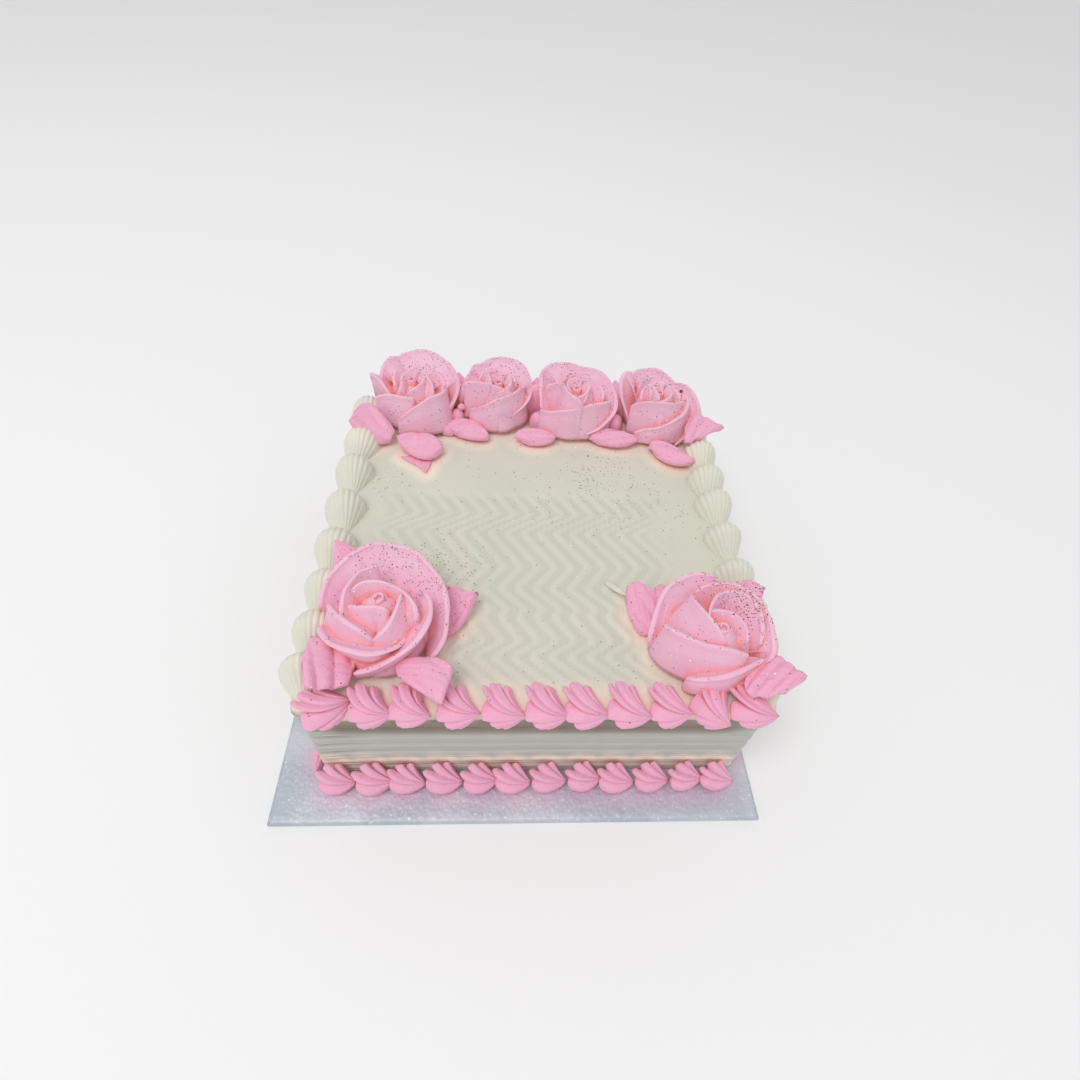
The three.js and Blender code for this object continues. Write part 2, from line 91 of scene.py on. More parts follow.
# Roses: the middle of each on the top, its curl, and its petals. Each petal has a flare,
# which is how far its outer face spreads below the lip, and the points that its lip runs
# through, measured from the rose's middle and from the top.
ROSES = [
    {
        "name": "rose_front_left",
        "spot": (-74, -66),
        "curl": (0.5, -5.5, 33),
        "petals": [
            (0.45, [
                (-14, -6.5, 26), (-9, -8.5, 28), (-4.5, -9.5, 29.5), (0, -9.5, 30), (3.5, -10.5, 30),
                (5.5, -11, 28),
            ]),
            (0.45, [
                (10, -3, 31), (9.5, -7, 30.5), (8, -12.5, 29), (5, -18, 26), (0.5, -20.5, 22),
                (-2, -20, 19),
            ]),
            (0.15, [
                (-13, -0.5, 29), (-10, 2, 31), (-6, 3, 32), (-0.5, 2.5, 32.5), (5, 1, 32), (10.5, -1.5, 31),
                (14.5, -5, 29), (17, -9.5, 27), (17, -13, 24),
            ]),
            (0.1, [
                (-16.5, -10.5, 24), (-16.5, -6.5, 27), (-16, -1, 29), (-14, 4.5, 29.5), (-11.5, 10.5, 29),
                (-8, 13.5, 28), (-3.5, 16, 27),
            ]),
            (0.35, [
                (-25, -1.5, 20), (-21, -7.5, 23), (-16, -12.5, 25), (-11, -16.5, 25.5), (-5.5, -19.5, 24),
                (-1, -21.5, 20),
            ]),
            (-0.3, [
                (-28.5, -9.5, 14), (-25.5, -16, 17), (-20, -22.5, 20), (-13.5, -26.5, 22),
                (-7, -28.5, 22.5), (-0.5, -29, 22), (5.5, -27, 21), (10, -23, 19), (12.5, -17, 17),
            ]),
            (-0.35, [
                (19.5, 2.5, 24), (22.5, -2.5, 24), (23, -10, 23), (21, -16.5, 22), (17.5, -22, 21),
                (12.5, -26.5, 19.5), (6.5, -29.5, 17), (-1.5, -31, 13), (-10, -31.5, 9),
            ]),
            (-0.4, [
                (-18.5, 27, 22), (-13.5, 30, 24), (-7, 32.5, 24), (-0.5, 32.5, 23), (7.5, 31, 23),
                (15, 26.5, 22), (21.5, 19.5, 20.5), (26.5, 12, 19), (29.5, 2, 17.5), (30, -6.5, 15.5),
                (29.5, -13.5, 13), (26.5, -19.5, 10), (22.5, -23.5, 7),
            ]),
            (-0.4, [
                (-31, 2, 12), (-30.5, 6, 15), (-29.5, 11, 17), (-27.5, 17, 18.5), (-23.5, 23, 20),
                (-18.5, 27, 22), (-13, 30.5, 22),
            ]),
        ],
    },
    {
        "name": "rose_front_right",
        "spot": (84, -74),
        "curl": (-2, -12, 33),
        "petals": [
            (0.5, [
                (-12.5, 8.5, 28), (-11, 1, 31), (-8.5, -7, 33), (-5.5, -12.5, 32.5), (-2.5, -16, 30),
                (0, -17.5, 26),
            ]),
            (0.25, [
                (-25.5, -3.5, 21), (-23.5, -8.5, 24), (-20.5, -12.5, 26), (-13.5, -17, 27),
                (-5.5, -19.5, 27), (3.5, -21, 25.5), (10, -21, 23),
            ]),
            (0.05, [
                (-17, -26, 11), (-12.5, -28.5, 14), (-4.5, -29, 16), (4.5, -27, 17.5), (11.5, -24, 17.5),
                (19.5, -19.5, 17),
            ]),
            (-0.4, [
                (-31, -6, 9), (-30, -2.5, 13), (-27.5, 4.5, 17), (-24.5, 11.5, 20), (-20.5, 17, 22),
                (-14, 21.5, 23), (-5.5, 24.5, 23.5), (1.5, 23.5, 23.5), (7, 21.5, 22),
            ]),
            (-0.3, [
                (-8, 13, 24), (-3, 15, 26.5), (4, 16, 27.5), (10.5, 15.5, 27.5), (17, 12.5, 26.5),
                (22, 8, 25), (24.5, 1.5, 23.5), (25.5, -5.5, 22), (25.5, -12, 20), (24.5, -17, 17),
                (21, -20.5, 13),
            ]),
            (0.0, [
                (-7, -5.5, 31), (-5.5, -1, 31), (-2.5, 4, 30), (1.5, 8.5, 29), (8, 10.5, 28.5),
                (14, 9.5, 28), (18, 5, 27), (20.5, -1, 25), (20.5, -7.5, 22), (18.5, -13.5, 19),
            ]),
            (0.3, [
                (-6, -3.5, 32), (-2, -3, 32), (3, -4, 31.5), (7.5, -6.5, 30), (10, -11.5, 28),
                (10, -15.5, 25),
            ]),
            (-0.4, [(29, -9.5, 15), (26.5, -16, 13), (19, -22, 10), (11.5, -26, 7.5), (6, -27.5, 5)]),
        ],
    },
    {
        "name": "rose_back_1",
        "spot": (-77, 98),
        "curl": (0, 0, 33),
        "mound": 0.62,
        "petals": [
            (-0.2, [(-30, 17.5, 23), (-25.5, 12.5, 24), (-20, 5.5, 23), (-15, -0.5, 20)]),
            (0.2, [(-24.5, -2.5, 18), (-19, -3.5, 21), (-12.5, -7, 24), (-5, -11.5, 26), (2, -12.5, 26)]),
            (0.2, [
                (-9.5, -16, 10.5), (-3.5, -17, 17), (1.5, -16.5, 21.5), (7, -16, 25), (12, -14, 27.5),
                (18, -10, 28), (21.5, -0.5, 25.5),
            ]),
            (0.2, [(13.5, -7, 25), (13, -4, 29), (11, 0, 32), (6, 6.5, 33), (0.5, 10.5, 33)]),
            (0.15, [(18, -1, 24), (19.5, 2.5, 27), (17, 8, 29), (12, 15, 30), (5.5, 21, 30)]),
            (0.1, [(-4, 23.5, 30), (-7.5, 21.5, 30), (-11, 15.5, 29), (-13, 8, 27), (-11, 1.5, 25)]),
            (-0.1, [
                (-9, 23, 32), (-14.5, 20, 33.5), (-18.5, 17, 32), (-21, 14.5, 28), (-21.5, 11, 23),
                (-17.5, 6, 19), (-14, 5, 17),
            ]),
            (-0.35, [
                (-12.5, 21, 32), (-7.5, 23.5, 34), (-2, 24.5, 36), (3, 24.5, 37), (11, 23, 36),
                (17.5, 19, 35), (23, 14, 33), (27.5, 5.5, 31), (28.5, 2, 26), (27, -1.5, 20),
                (23.5, -5.5, 15), (18.5, -11, 11), (15.5, -13, 7), (15.5, -17, 2.5),
            ]),
        ],
    },
    {
        "name": "rose_back_2",
        "spot": (-22, 98),
        "curl": (0, 0, 33),
        "mound": 0.62,
        "petals": [
            (0.2, [
                (-23, 1.5, 22), (-23, 3.5, 25), (-20, 3, 28), (-15, 1.5, 30), (-10, -0.5, 31),
                (-4.5, -3, 31), (0.5, -5.5, 31), (5.5, -6.5, 29.5), (8.5, -5.5, 27.5),
            ]),
            (0.2, [
                (-19, -4.5, 12.5), (-12, -8.5, 18), (-5.5, -10, 22.5), (1, -9.5, 25.5), (7.5, -7, 27.5),
                (13, -2, 27.5), (16.5, 5.5, 25.5),
            ]),
            (-0.35, [
                (-19, 15.5, 28), (-16, 18.5, 31), (-11.5, 20.5, 31), (-6, 22.5, 33), (0.5, 22.5, 35),
                (7, 21.5, 35), (13.5, 18, 34), (18, 13.5, 31), (20.5, 9, 27), (21, 6, 22),
                (19.5, -1, 20), (15.5, -5.5, 17), (10, -9, 13.5), (4.5, -11, 10), (-2, -12, 6),
            ]),
            (-0.3, [(-16.5, 18, 29), (-20.5, 14.5, 25), (-23.5, 10.5, 21), (-25, 8.5, 15.5), (-23.5, 6.5, 9)]),
            (0.3, [(-13, 4, 29), (-11, 8, 32), (-9, 11.5, 34), (-6.5, 3, 34), (-4.5, -2, 32)]),
            (0.2, [(-5, 14.5, 29), (0.5, 18, 30), (5.5, 17, 29.5), (9.5, 11.5, 28), (11, 4.5, 26)]),
        ],
    },
    {
        "name": "rose_back_3",
        "spot": (28.5, 96),
        "curl": (0, 0, 32),
        "mound": 0.62,
        "petals": [
            (0.2, [
                (-23.5, -5, 16), (-17.5, -10.5, 19), (-11, -12.5, 21), (-5, -14, 23), (1.5, -13.5, 25),
                (7.5, -12.5, 26), (14, -10, 26), (22, -4, 24),
            ]),
            (0.2, [
                (-20, 5, 26), (-18, 6, 28), (-13.5, 5, 30), (-9.5, 2, 32), (-7.5, -6, 32.5),
                (-3, -10.5, 31), (1, -13, 29), (3.5, -13.5, 26),
            ]),
            (-0.35, [
                (-23, 14, 31.5), (-20, 19.5, 31), (-15, 22.5, 32.5), (-9, 23.5, 33), (-3.5, 24, 32.5),
                (3, 23, 31), (10.5, 23, 30), (16.5, 21, 29), (21, 17, 27), (24.5, 11, 25),
                (26.5, 4.5, 22), (26.5, -1.5, 19.5), (24.5, -7.5, 17), (20, -12.5, 14), (15, -16, 11),
                (9, -17, 8), (1, -16.5, 5),
            ]),
            (-0.3, [(-23, 14, 31), (-23, 9.5, 27), (-23, 5, 23), (-22.5, 1, 19), (-22.5, -3, 15)]),
            (0.2, [(-8, 9.5, 29), (-6.5, 13.5, 31), (-4, 16, 31.5), (-0.5, 13.5, 31)]),
            (0.2, [(1, 7, 31), (5.5, 6, 31), (7.5, 2.5, 30.5), (6.5, -4, 29), (3.5, -9.5, 25)]),
            (0.1, [(3, 17.5, 28.5), (9.5, 15.5, 28.5), (14.5, 9.5, 27.5), (17.5, 3, 26), (17, -3, 24)]),
        ],
    },
    {
        "name": "rose_back_4",
        "spot": (82, 94),
        "curl": (0, 0, 32),
        "mound": 0.62,
        "petals": [
            (0.15, [
                (-18, -3.5, 22), (-15, -5, 25), (-10, -7, 27.5), (-4, -8.5, 29), (2.5, -8.5, 29),
                (9, -8, 28), (15.5, -3.5, 27),
            ]),
            (0.15, [
                (-15, -14, 8), (-8, -14.5, 11.5), (-2.5, -16, 14), (4, -16, 17), (9.5, -15, 20),
                (15.5, -10.5, 22), (19.5, -3, 23), (21, 5, 23),
            ]),
            (-0.35, [
                (-16, 18, 30.5), (-13, 20.5, 32), (-9.5, 22.5, 32), (-3.5, 25, 31.5), (3, 26, 30),
                (10, 23.5, 27), (15, 19, 25), (21.5, 18, 24), (25.5, 13, 23), (28, 7, 20.5),
                (29, 1.5, 17.5), (28, -3.5, 14), (24.5, -9.5, 10), (19, -14.5, 6), (12.5, -18.5, 2.5),
            ]),
            (-0.3, [
                (-14, 20, 30), (-19, 18.5, 33), (-22.5, 16, 31), (-23.5, 11.5, 27), (-22.5, 6.5, 21),
                (-19.5, 0.5, 15), (-16.5, -4, 10), (-13.5, -9, 5),
            ]),
            (0.2, [(-12.5, -4.5, 28), (-11, 1.5, 31), (-7, 4, 33), (-3.5, -1, 33), (-1.5, -8, 31)]),
            (0.2, [(-1, 3, 31), (4, 8, 31), (7.5, 4.5, 29.5), (9, -1.5, 27)]),
            (0.1, [
                (-12, 10.5, 26), (-6.5, 18.5, 28), (0.5, 20.5, 29), (8, 16, 28), (14, 7.5, 25.5),
                (15, -1.5, 23),
            ]),
        ],
    },
]

# Leaves: the blades of each, with its two edges from base to tip (z from the top), its
# thickness, how far its end bulges, the depth of its pleats, and how many lie along and across
LEAVES = {
    "leaf_front_left_a": [
        (
            [(-103, -51.5, 8), (-103.5, -40.5, 12), (-104, -33.5, 15), (-104.5, -25.5, 17)],
            [(-84.5, -34.5, 8), (-88.5, -30, 12), (-96, -27, 15), (-104.5, -25.5, 17)],
            3, 0, 0.5, 1, 1,
        )
    ],
    "leaf_front_left_b": [
        (
            [(-52, -46, 3), (-46, -44.5, 5), (-38.5, -48, 7), (-30.5, -52, 9)],
            [(-48, -71.5, 1.5), (-41.5, -72, 1.5), (-35.5, -64.5, 4), (-30.5, -53, 9)],
            3, 1, 0.8, 0.6, 3,
        )
    ],
    "leaf_front_left_c": [
        (
            [(-84, -88, 6), (-90.5, -85.5, 9), (-96.5, -83.5, 13), (-104.5, -82.5, 17)],
            [(-86, -102, 6), (-91.5, -105, 9), (-96.5, -107.5, 13), (-101.5, -109, 17)],
            3.5, 2.5, 1.6, 2.2, 0.7,
        )
    ],
    "leaf_front_left_d": [
        (
            [(-66, -90, 7), (-60.5, -89.5, 10), (-49, -91, 13.5), (-39, -98.5, 15)],
            [(-64.5, -98, 7), (-57, -104.5, 10), (-50, -110.5, 13.5), (-43, -115.5, 15)],
            3.5, 0.5, 1.1, 0.7, -1.3,
        )
    ],
    "leaf_front_right_e": [
        (
            [(55.5, -71.5, 1.5), (49, -67.5, 2), (46, -55.5, 4), (47.5, -44.5, 7)],
            [(58.5, -70, 3), (60.5, -60.5, 4), (62, -54, 6), (59.5, -47, 8)],
            3, 3, 0.9, 1.4, 2.2,
        ),
        (
            [(59.5, -58, 2), (60.5, -52, 5), (61, -48.5, 6), (61.5, -45.5, 7.5)],
            [(65.5, -57, 2), (67, -52, 5), (69.5, -48, 6), (69.5, -45.5, 7.5)],
            3, 1.5, 0.5, 0.5, 0.8,
        ),
    ],
    "leaf_front_right_f": [
        (
            [(97.5, -49, 12), (103.5, -47, 15), (109, -48.5, 18), (112.5, -54, 20)],
            [(101, -60, 12), (106, -61.5, 15), (110.5, -60.5, 18), (113, -55, 20)],
            3, 0.5, 0.3, 0.5, 1.5,
        )
    ],
    "leaf_front_right_g": [
        (
            [(103.5, -93.5, 9), (111, -89, 13), (115.5, -96, 17), (120, -103.5, 19)],
            [(94, -105, 11), (94.5, -110.5, 13), (104.5, -111.5, 16), (119, -104.5, 19)],
            3.5, 0.5, 1.3, 4.4, 1.2,
        )
    ],
    "leaf_back_h": [
        (
            [(-88, 76.5, 8), (-93.5, 83, 13), (-105, 90, 18), (-114.5, 74, 16)],
            [(-89.5, 70.5, 3), (-99.5, 67, 4), (-107, 67.5, 9), (-114.5, 73.5, 15)],
            4, 0, 0.9, 0.8, 2.4,
        )
    ],
    "leaf_back_i": [
        (
            [(-85.5, 74.5, 4), (-79.5, 75.5, 6), (-68.5, 75.5, 7), (-57.5, 66.5, 6)],
            [(-83, 65, 3), (-76.5, 58.5, 3), (-67, 54, 3), (-56.5, 62, 4)],
            4.5, 1, 1, 1.2, 1.7,
        )
    ],
    "leaf_back_k": [
        (
            [(-54.5, 86, 4), (-50.5, 91, 6), (-39.5, 89.5, 7), (-28, 78.5, 5)],
            [(-53.5, 82.5, 3), (-46.5, 77.5, 3), (-37, 74, 3), (-28, 75, 4)],
            4.5, 0.5, 0.9, 0.7, 1.8,
        )
    ],
    "leaf_back_l": [
        (
            [(-9.5, 79, 4), (-5, 83, 6), (6, 82, 7), (14.5, 77.5, 5)],
            [(-9, 77.5, 3), (-4, 72.5, 3), (5.5, 71, 3), (14.5, 75, 4)],
            4.5, 1, 0.8, 0.5, 1.6,
        )
    ],
    "leaf_back_m": [
        (
            [(38, 79, 4), (46, 84, 7), (57, 83, 8), (69.5, 78, 6)],
            [(38.5, 78.5, 3), (45, 73.5, 3), (56.5, 71, 3), (69.5, 76.5, 4)],
            4.5, 0.5, 0.9, 1, 1.7,
        )
    ],
    "leaf_back_n": [
        (
            [(76.5, 72.5, 4), (85.5, 74.5, 6), (95.5, 66, 7), (103.5, 57.5, 6)],
            [(78, 71, 3), (81.5, 62, 3), (90, 55, 3), (103, 55, 5)],
            4.5, 0.5, 0.9, 0.8, 1.8,
        )
    ],
    "leaf_back_o": [
        (
            [(100.5, 79, 13), (108, 87.5, 19), (113.5, 81, 21), (122, 71.5, 22)],
            [(97.5, 67.5, 11), (102.5, 66, 14), (110.5, 67.5, 18), (122, 71, 21.5)],
            3.5, 0, 1.2, 2.6, 1,
        )
    ],
    "leaf_back_p": [
        (
            [(-57, 108, 15), (-57, 114, 17), (-54, 120, 18), (-49, 125, 18)],
            [(-43, 108, 15), (-42, 114, 17), (-45, 120, 18), (-49, 125, 18)],
            3, 0, 0.5, 1, 1,
        )
    ],
    "leaf_back_q": [
        (
            [(-2, 108, 15), (-3, 114, 16), (0, 119, 17), (4, 124, 17)],
            [(10, 108, 15), (11, 114, 16), (8, 119, 17), (4, 124, 17)],
            3, 0, 0.5, 1, 1,
        )
    ],
    "leaf_back_r": [
        (
            [(52, 108, 15), (51, 114, 16), (54, 119, 17), (58, 124, 17)],
            [(64, 108, 15), (65, 114, 16), (62, 119, 17), (58, 124, 17)],
            3, 0, 0.5, 1, 1,
        )
    ],
}

# A thin streak of pink cream on the top, by its two edges
SMEAR = (
    [(-83, 60, 0.3), (-76.5, 54.5, 0.5), (-71, 50.5, 0.5), (-67, 46, 0.3)],
    [(-63.5, 61, 0.3), (-63.5, 54, 0.5), (-64.5, 49, 0.5), (-65.5, 45, 0.3)],
)
# Small bits of cream: middle, half sizes and turn
BITS = [
    ("ivory", (42.5, -41, 0), (7.5, 2, 1.3), -42),
    ("pink", (-46.5, 96, 13), (2.5, 2.5, 2.5), 0),
    ("pink", (-49, 106, 8), (11, 5, 15), 10),
    ("pink", (4, 106, 9), (11, 5, 17), 10),
    ("pink", (4, 93, 5), (5, 5, 8), 0),
    ("pink", (57, 105, 8), (11, 5, 15), 0),
    ("pink", (55.5, 93, 4), (6, 6, 9), 0),
    ("pink", (-49, 95, 4), (5, 5, 8), 0),
    ("pink", (-54, 84, 3), (5, 4, 4), 20),
    ("pink", (106, 88, 6), (6, 8, 8), 0),
    ("dark", (36.5, 65.5, 0), (0.5, 0.5, 0.5), 0),
    ("dark", (100.5, 108, 22.5), (1, 1, 1.4), 0),
]

# Rows of shells: the middle of each shell along its side, and how far it is turned
FRONT_MIDDLES = [-96.5, -76.5, -58.5, -37.5, -17, 2.5, 20.5, 40.5, 59.5, 80, 98.5]
FRONT_TURNS = [38, 4, -2, 6, 0, 0, 4, -3, 4, -32, -2]
BACK_MIDDLES = [-92, -74, -56, -37, -18, 1, 19, 37, 55, 74, 92]
LEFT_MIDDLES = [-98.4, -66.5, -40.5, -10, 19.4, 46.7, 72.2, 94]
RIGHT_MIDDLES = [-107, -87, -63.3, -40.2, -18.1, 8.3, 35, 59.6, 80, 97]
FOOT_ROW = {"count": 12, "pitch": 18.3}

# The mound under a rose: how far it reaches and how high, from its foot to its top
MOUND = [(10, 0), (17, 0), (19, 3), (18.5, 8), (14, 15), (10, 21), (6.5, 26), (3, 29.5), (1, 30.5)]
# The two small petals round the curl of each back rose
HEART = [
    (0.3, [(-5.5, -4, 30.5), (-6.5, 0, 32), (-5, 4.5, 33), (-0.5, 6.5, 33.5), (4, 5.5, 33)]),
    (0.3, [(5.5, 6, 32.5), (7.5, 1.5, 32), (6.5, -3.5, 31), (2.5, -7, 29.5), (-2.5, -8, 28)]),
]

# The shells on the front edge and at the foot. Crests run from their heads over a point to
# the tail, in order round the shell, each with the depth of the crease that follows it and
# its place on the way to the next crest. The core is the line that creases are pressed towards.
EDGE_SHELL = {
    "tail": (10.5, -4.3, 1.5),
    "core": [(-2, 1, 0), (2, -2, 3)],
    "crests": [
        ((2.2, 10.7, 3), (2, 0, 10), 0.34, 0.5),
        ((-4, 13.3, 4), (-0.5, -5.5, 15), 0.22, 0.6),
        ((-10.3, 11.2, 4.5), (-8, -11.5, 15), 0.36, 0.2),
        ((-12, -5, 0.5), (0, -10, 3), 0.36, 0.3),
        ((-5.5, -8, -3.5), (2.5, -9.8, 0.5), 0.3, 0.5),
        ((0.5, -6.8, -6), (5.5, -7.5, -3), 0, 0.5),
        ((3, 0, -4), (7, -2, -2), 0, 0.5),
        ((4.5, 6.5, -0.5), (6, 2, 0), 0, 0.5),
    ],
}
FOOT_SHELL = {
    "tail": (12.5, -7.5, 4),
    "core": [(-1, -4, 3), (2, -6, 6)],
    "crests": [
        ((3.8, -1.5, 11), (6.5, -4.5, 10.5), 0.36, 0.5),
        ((-3, -1.8, 12.5), (1.5, -8, 14.5), 0.36, 0.5),
        ((-9.3, -4, 8.5), (-5.5, -13, 12.5), 0.34, 0.33),
        ((-7.5, -9, 3), (0, -16, 6), 0.34, 0.5),
        ((-2, -10.5, 0.6), (4, -13, 1.5), 0, 0.5),
        ((2, -5, 0.2), (7, -7, 0.4), 0, 0.5),
        ((2, -1, 4), (7, -3, 4), 0, 0.5),
    ],
}

# Where glitter has fallen thickly: x, y, spread and how densely it lies there
GLITTER_SPOTS = [
    (36, 43, 11, 0.6), (46, 60, 14, 0.35), (-90, 39, 8, 0.5), (-44, -22, 15, 0.5), (93, 10, 14, 0.2),
    (60, 30, 20, 0.2), (10, 30, 22, 0.12), (100, -62, 16, 3), (-72, -38, 17, 0.9), (-50, -56, 13, 0.5),
    (118, -100, 9, 0.5), (-70, 112, 20, 0.6), (-20, 112, 20, 0.8), (30, 110, 20, 0.5), (88, 104, 22, 0.9),
]
# How thickly it lies on each kind of piece away from those spots
GLITTER_SHARES = {
    "combed_cake": 0.02, "piped_rose_back": 0.2, "piped_rose_front_right": 0.15, "piped_rose": 0.15,
    "piped_leaf_back": 0.12, "piped_leaf": 0.1, "shells_top_front": 0.03,
}


def smooth(low, high, x):
    t = np.clip((x - low) / (high - low), 0, 1)
    return t * t * (3 - 2 * t)


def rounded(x):
    """Rises from 0 to 1 as a quarter circle does."""
    return np.sqrt(1 - (1 - np.clip(x, 0, 1)) ** 2)


def enclosed(points, faces):
    """A measure of the volume inside four-cornered faces, below 0 where they face inwards."""
    points = points - points.mean(0)
    a, b, c, d = (points[faces[:, corner]] for corner in range(4))
    return (a * (np.cross(b, c) + np.cross(c, d))).sum()


class Skins:
    """The points, faces and point values of the skins that make one piece."""

    def __init__(self):
        self.points = []
        self.faces = []
        self.values = {}
        self.count = 0

    def add(self, grid, closed=False, capped=False, **values):
        """One skin over a grid of points, rows by columns by three. A closed one faces outwards."""
        rows, columns = grid.shape[:2]
        index = np.arange(rows * columns).reshape(rows, columns)
        across = np.hstack([index, index[:, :1]]) if closed else index
        corners = [across[:-1, :-1], across[:-1, 1:], across[1:, 1:], across[1:, :-1]]
        faces = np.stack(corners, -1).reshape(-1, 4)
        caps = [index[0, ::-1], index[-1]] if capped else []
        points = grid.reshape(-1, 3)
        if closed and enclosed(points, faces) < 0:
            faces = faces[:, ::-1]
            caps = [cap[::-1] for cap in caps]
        self.faces += (faces + self.count).tolist() + [(cap + self.count).tolist() for cap in caps]
        self.points.append(points)
        for name, value in values.items():
            spread = np.broadcast_to(value, (rows, columns)).ravel()
            self.values.setdefault(name, []).append(spread)
        index = index + self.count
        self.count += rows * columns
        return index

    def moved(self, offset, turn=0):
        """The same skins turned about Z by turn degrees and then shifted."""
        c, s = np.cos(np.radians(turn)), np.sin(np.radians(turn))
        matrix = np.array([[c, s, 0], [-s, c, 0], [0, 0, 1]])
        self.points = [points @ matrix + np.array(offset) for points in self.points]
        return self

    def mesh(self, name, turned_out=True):
        """The mesh of the skins. Those that aren't all turned out yet are turned here."""
        mesh = bpy.data.meshes.new(name)
        mesh.from_pydata((np.concatenate(self.points) * MM).tolist(), [], self.faces)
        for label, values in self.values.items():
            attribute = mesh.attributes.new(label, "FLOAT", "POINT")
            attribute.data.foreach_set("value", np.concatenate(values).astype(np.float32))
        tidy = bmesh.new()
        tidy.from_mesh(mesh)
        bmesh.ops.remove_doubles(tidy, verts=tidy.verts, dist=0.002 * MM)
        if not turned_out:
            bmesh.ops.recalc_face_normals(tidy, faces=tidy.faces)
        tidy.to_mesh(mesh)
        tidy.free()
        mesh.shade_smooth()
        return mesh


def add_object(name, mesh):
    piece = bpy.data.objects.new(name, mesh)
    bpy.context.scene.collection.objects.link(piece)
    return piece


def dress(piece, material, slot, *nodes):
    """Gives a finished mesh its material and ties it to the frame."""
    piece.data.materials.clear()
    piece.data.materials.append(material)
    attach(piece, "root")
    if nodes:
        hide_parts(*nodes)
    return piece


class Socket:
    """A node's output. Arithmetic on it adds Math nodes."""

    def __init__(self, nodes, output):
        self.nodes = nodes
        self.output = output

    def math(self, operation, *values):
        return self.nodes.node("ShaderNodeMath", {"operation": operation}, dict(enumerate(values)))

    def __add__(self, other):
        return self.math("ADD", self, other)

    def __sub__(self, other):
        return self.math("SUBTRACT", self, other)

    def __rsub__(self, other):
        return self.math("SUBTRACT", other, self)

    def __mul__(self, other):
        return self.math("MULTIPLY", self, other)

    def __truediv__(self, other):
        return self.math("DIVIDE", self, other)

    def __pow__(self, other):
        return self.math("POWER", self, other)

    __radd__ = __add__
    __rmul__ = __mul__

    def clamped(self):
        return self.nodes.node("ShaderNodeClamp", values={"Value": self})

    def between(self, low, high):
        """0 below low, 1 above high and smooth between them."""
        return self.nodes.node(
            "ShaderNodeMapRange",
            {"interpolation_type": "SMOOTHSTEP"},
            {"Value": self, "From Min": low, "From Max": high},
        )


class Nodes:
    """A node tree and the one method that adds nodes to it."""

    def __init__(self, tree):
        self.tree = tree

    def node(self, kind, settings=None, values=None, output=None):
        node = self.tree.nodes.new(kind)
        for name, value in (settings or {}).items():
            setattr(node, name, value)
        for name, value in (values or {}).items():
            self.feed(self.socket(node.inputs, name), value)
        return Socket(self, self.socket(node.outputs, output or 0))

    def socket(self, sockets, name):
        """A socket by its place, or the one of that name that the node's settings show."""
        if isinstance(name, int):
            return [s for s in sockets if s.enabled][name]
        return next(s for s in sockets if s.enabled and s.name == name)

    def feed(self, socket, value):
        if isinstance(value, Socket):
            self.tree.links.new(value.output, socket)
        else:
            socket.default_value = value


class Finish(Nodes):
    """A material on the principled shader."""

    def __init__(self, name):
        self.material = bpy.data.materials.new(name)
        self.material.use_nodes = True
        super().__init__(self.material.node_tree)
        self.shader = next(n for n in self.tree.nodes if n.type == "BSDF_PRINCIPLED")

    def place(self):
        return self.node("ShaderNodeTexCoord", output="Object")

    def value(self, name):
        """A point value of the mesh."""
        return self.node("ShaderNodeAttribute", {"attribute_name": name}, output="Fac")

    def noise(self, place, scale, detail=3.0):
        return self.node(
            "ShaderNodeTexNoise",
            values={"Vector": place, "Scale": scale, "Detail": detail},
        )

    def axis(self, place, name):
        return self.node("ShaderNodeSeparateXYZ", values={"Vector": place}, output=name)

    def mix(self, share, one, other):
        return self.node(
            "ShaderNodeMix",
            {"data_type": "RGBA"},
            {"Factor": share, "A": one, "B": other},
        )

    def bump(self, height, distance, strength=1.0):
        return self.node(
            "ShaderNodeBump",
            values={"Height": height, "Distance": distance, "Strength": strength},
        )

    def set(self, **values):
        """Sets the shader's own sockets, named with _ for a space."""
        for name, value in values.items():
            self.feed(self.shader.inputs[name.replace("_", " ")], value)
        return self.material


def colour(value):
    return (*value, 1.0)


def pink_cream(name, colours):
    """Piped pink buttercream: cool on its edges, with a painted coral glow in its hollows that deepens to a painted
    red shade in the deepest.
    """
    finish = Finish(name)
    place = finish.place()
    hollow = finish.value("hollow")
    grain = finish.node(
        "ShaderNodeCombineXYZ",
        values={"X": finish.value("across"), "Y": finish.value("along") * 0.06},
    )
    pale = finish.value("pale")
    cloud = finish.noise(place, 55.0).between(0.35, 0.7)
    mist = finish.noise(place, 1100.0, 2.0).between(0.4, 0.75)
    tone = finish.mix(pale * (0.6 + 0.4 * cloud), colour(colours.pink), colour(colours.pink_pale))
    tone = finish.mix(mist * 0.35, tone, colour(colours.pink_pale))
    # Painted light: coral where cream closes in on the cream, and painted deep red shade in the deepest hollows,
    # standing in for light through the cream.
    painted_warm_light = hollow.between(0.22, 0.6) * (0.6 + 0.4 * pale)
    tone = finish.mix(painted_warm_light, tone, colour(colours.coral))
    tone = finish.mix(hollow.between(0.6, 1.0), tone, colour(colours.deep_coral))
    streaks = finish.noise(grain, 1.1, 4.0)
    fine = finish.noise(place, 700.0)
    relief = streaks * 0.6 + fine * 0.4
    return finish.set(
        Base_Color=tone,
        Roughness=0.42 + finish.noise(place, 240.0) * 0.16,
        Normal=finish.bump(relief, 0.0006, 0.7),
        IOR=1.44,
        Subsurface_Weight=0.2,
        Subsurface_Radius=(1.0, 0.5, 0.45),
        Subsurface_Scale=0.0007,
    )


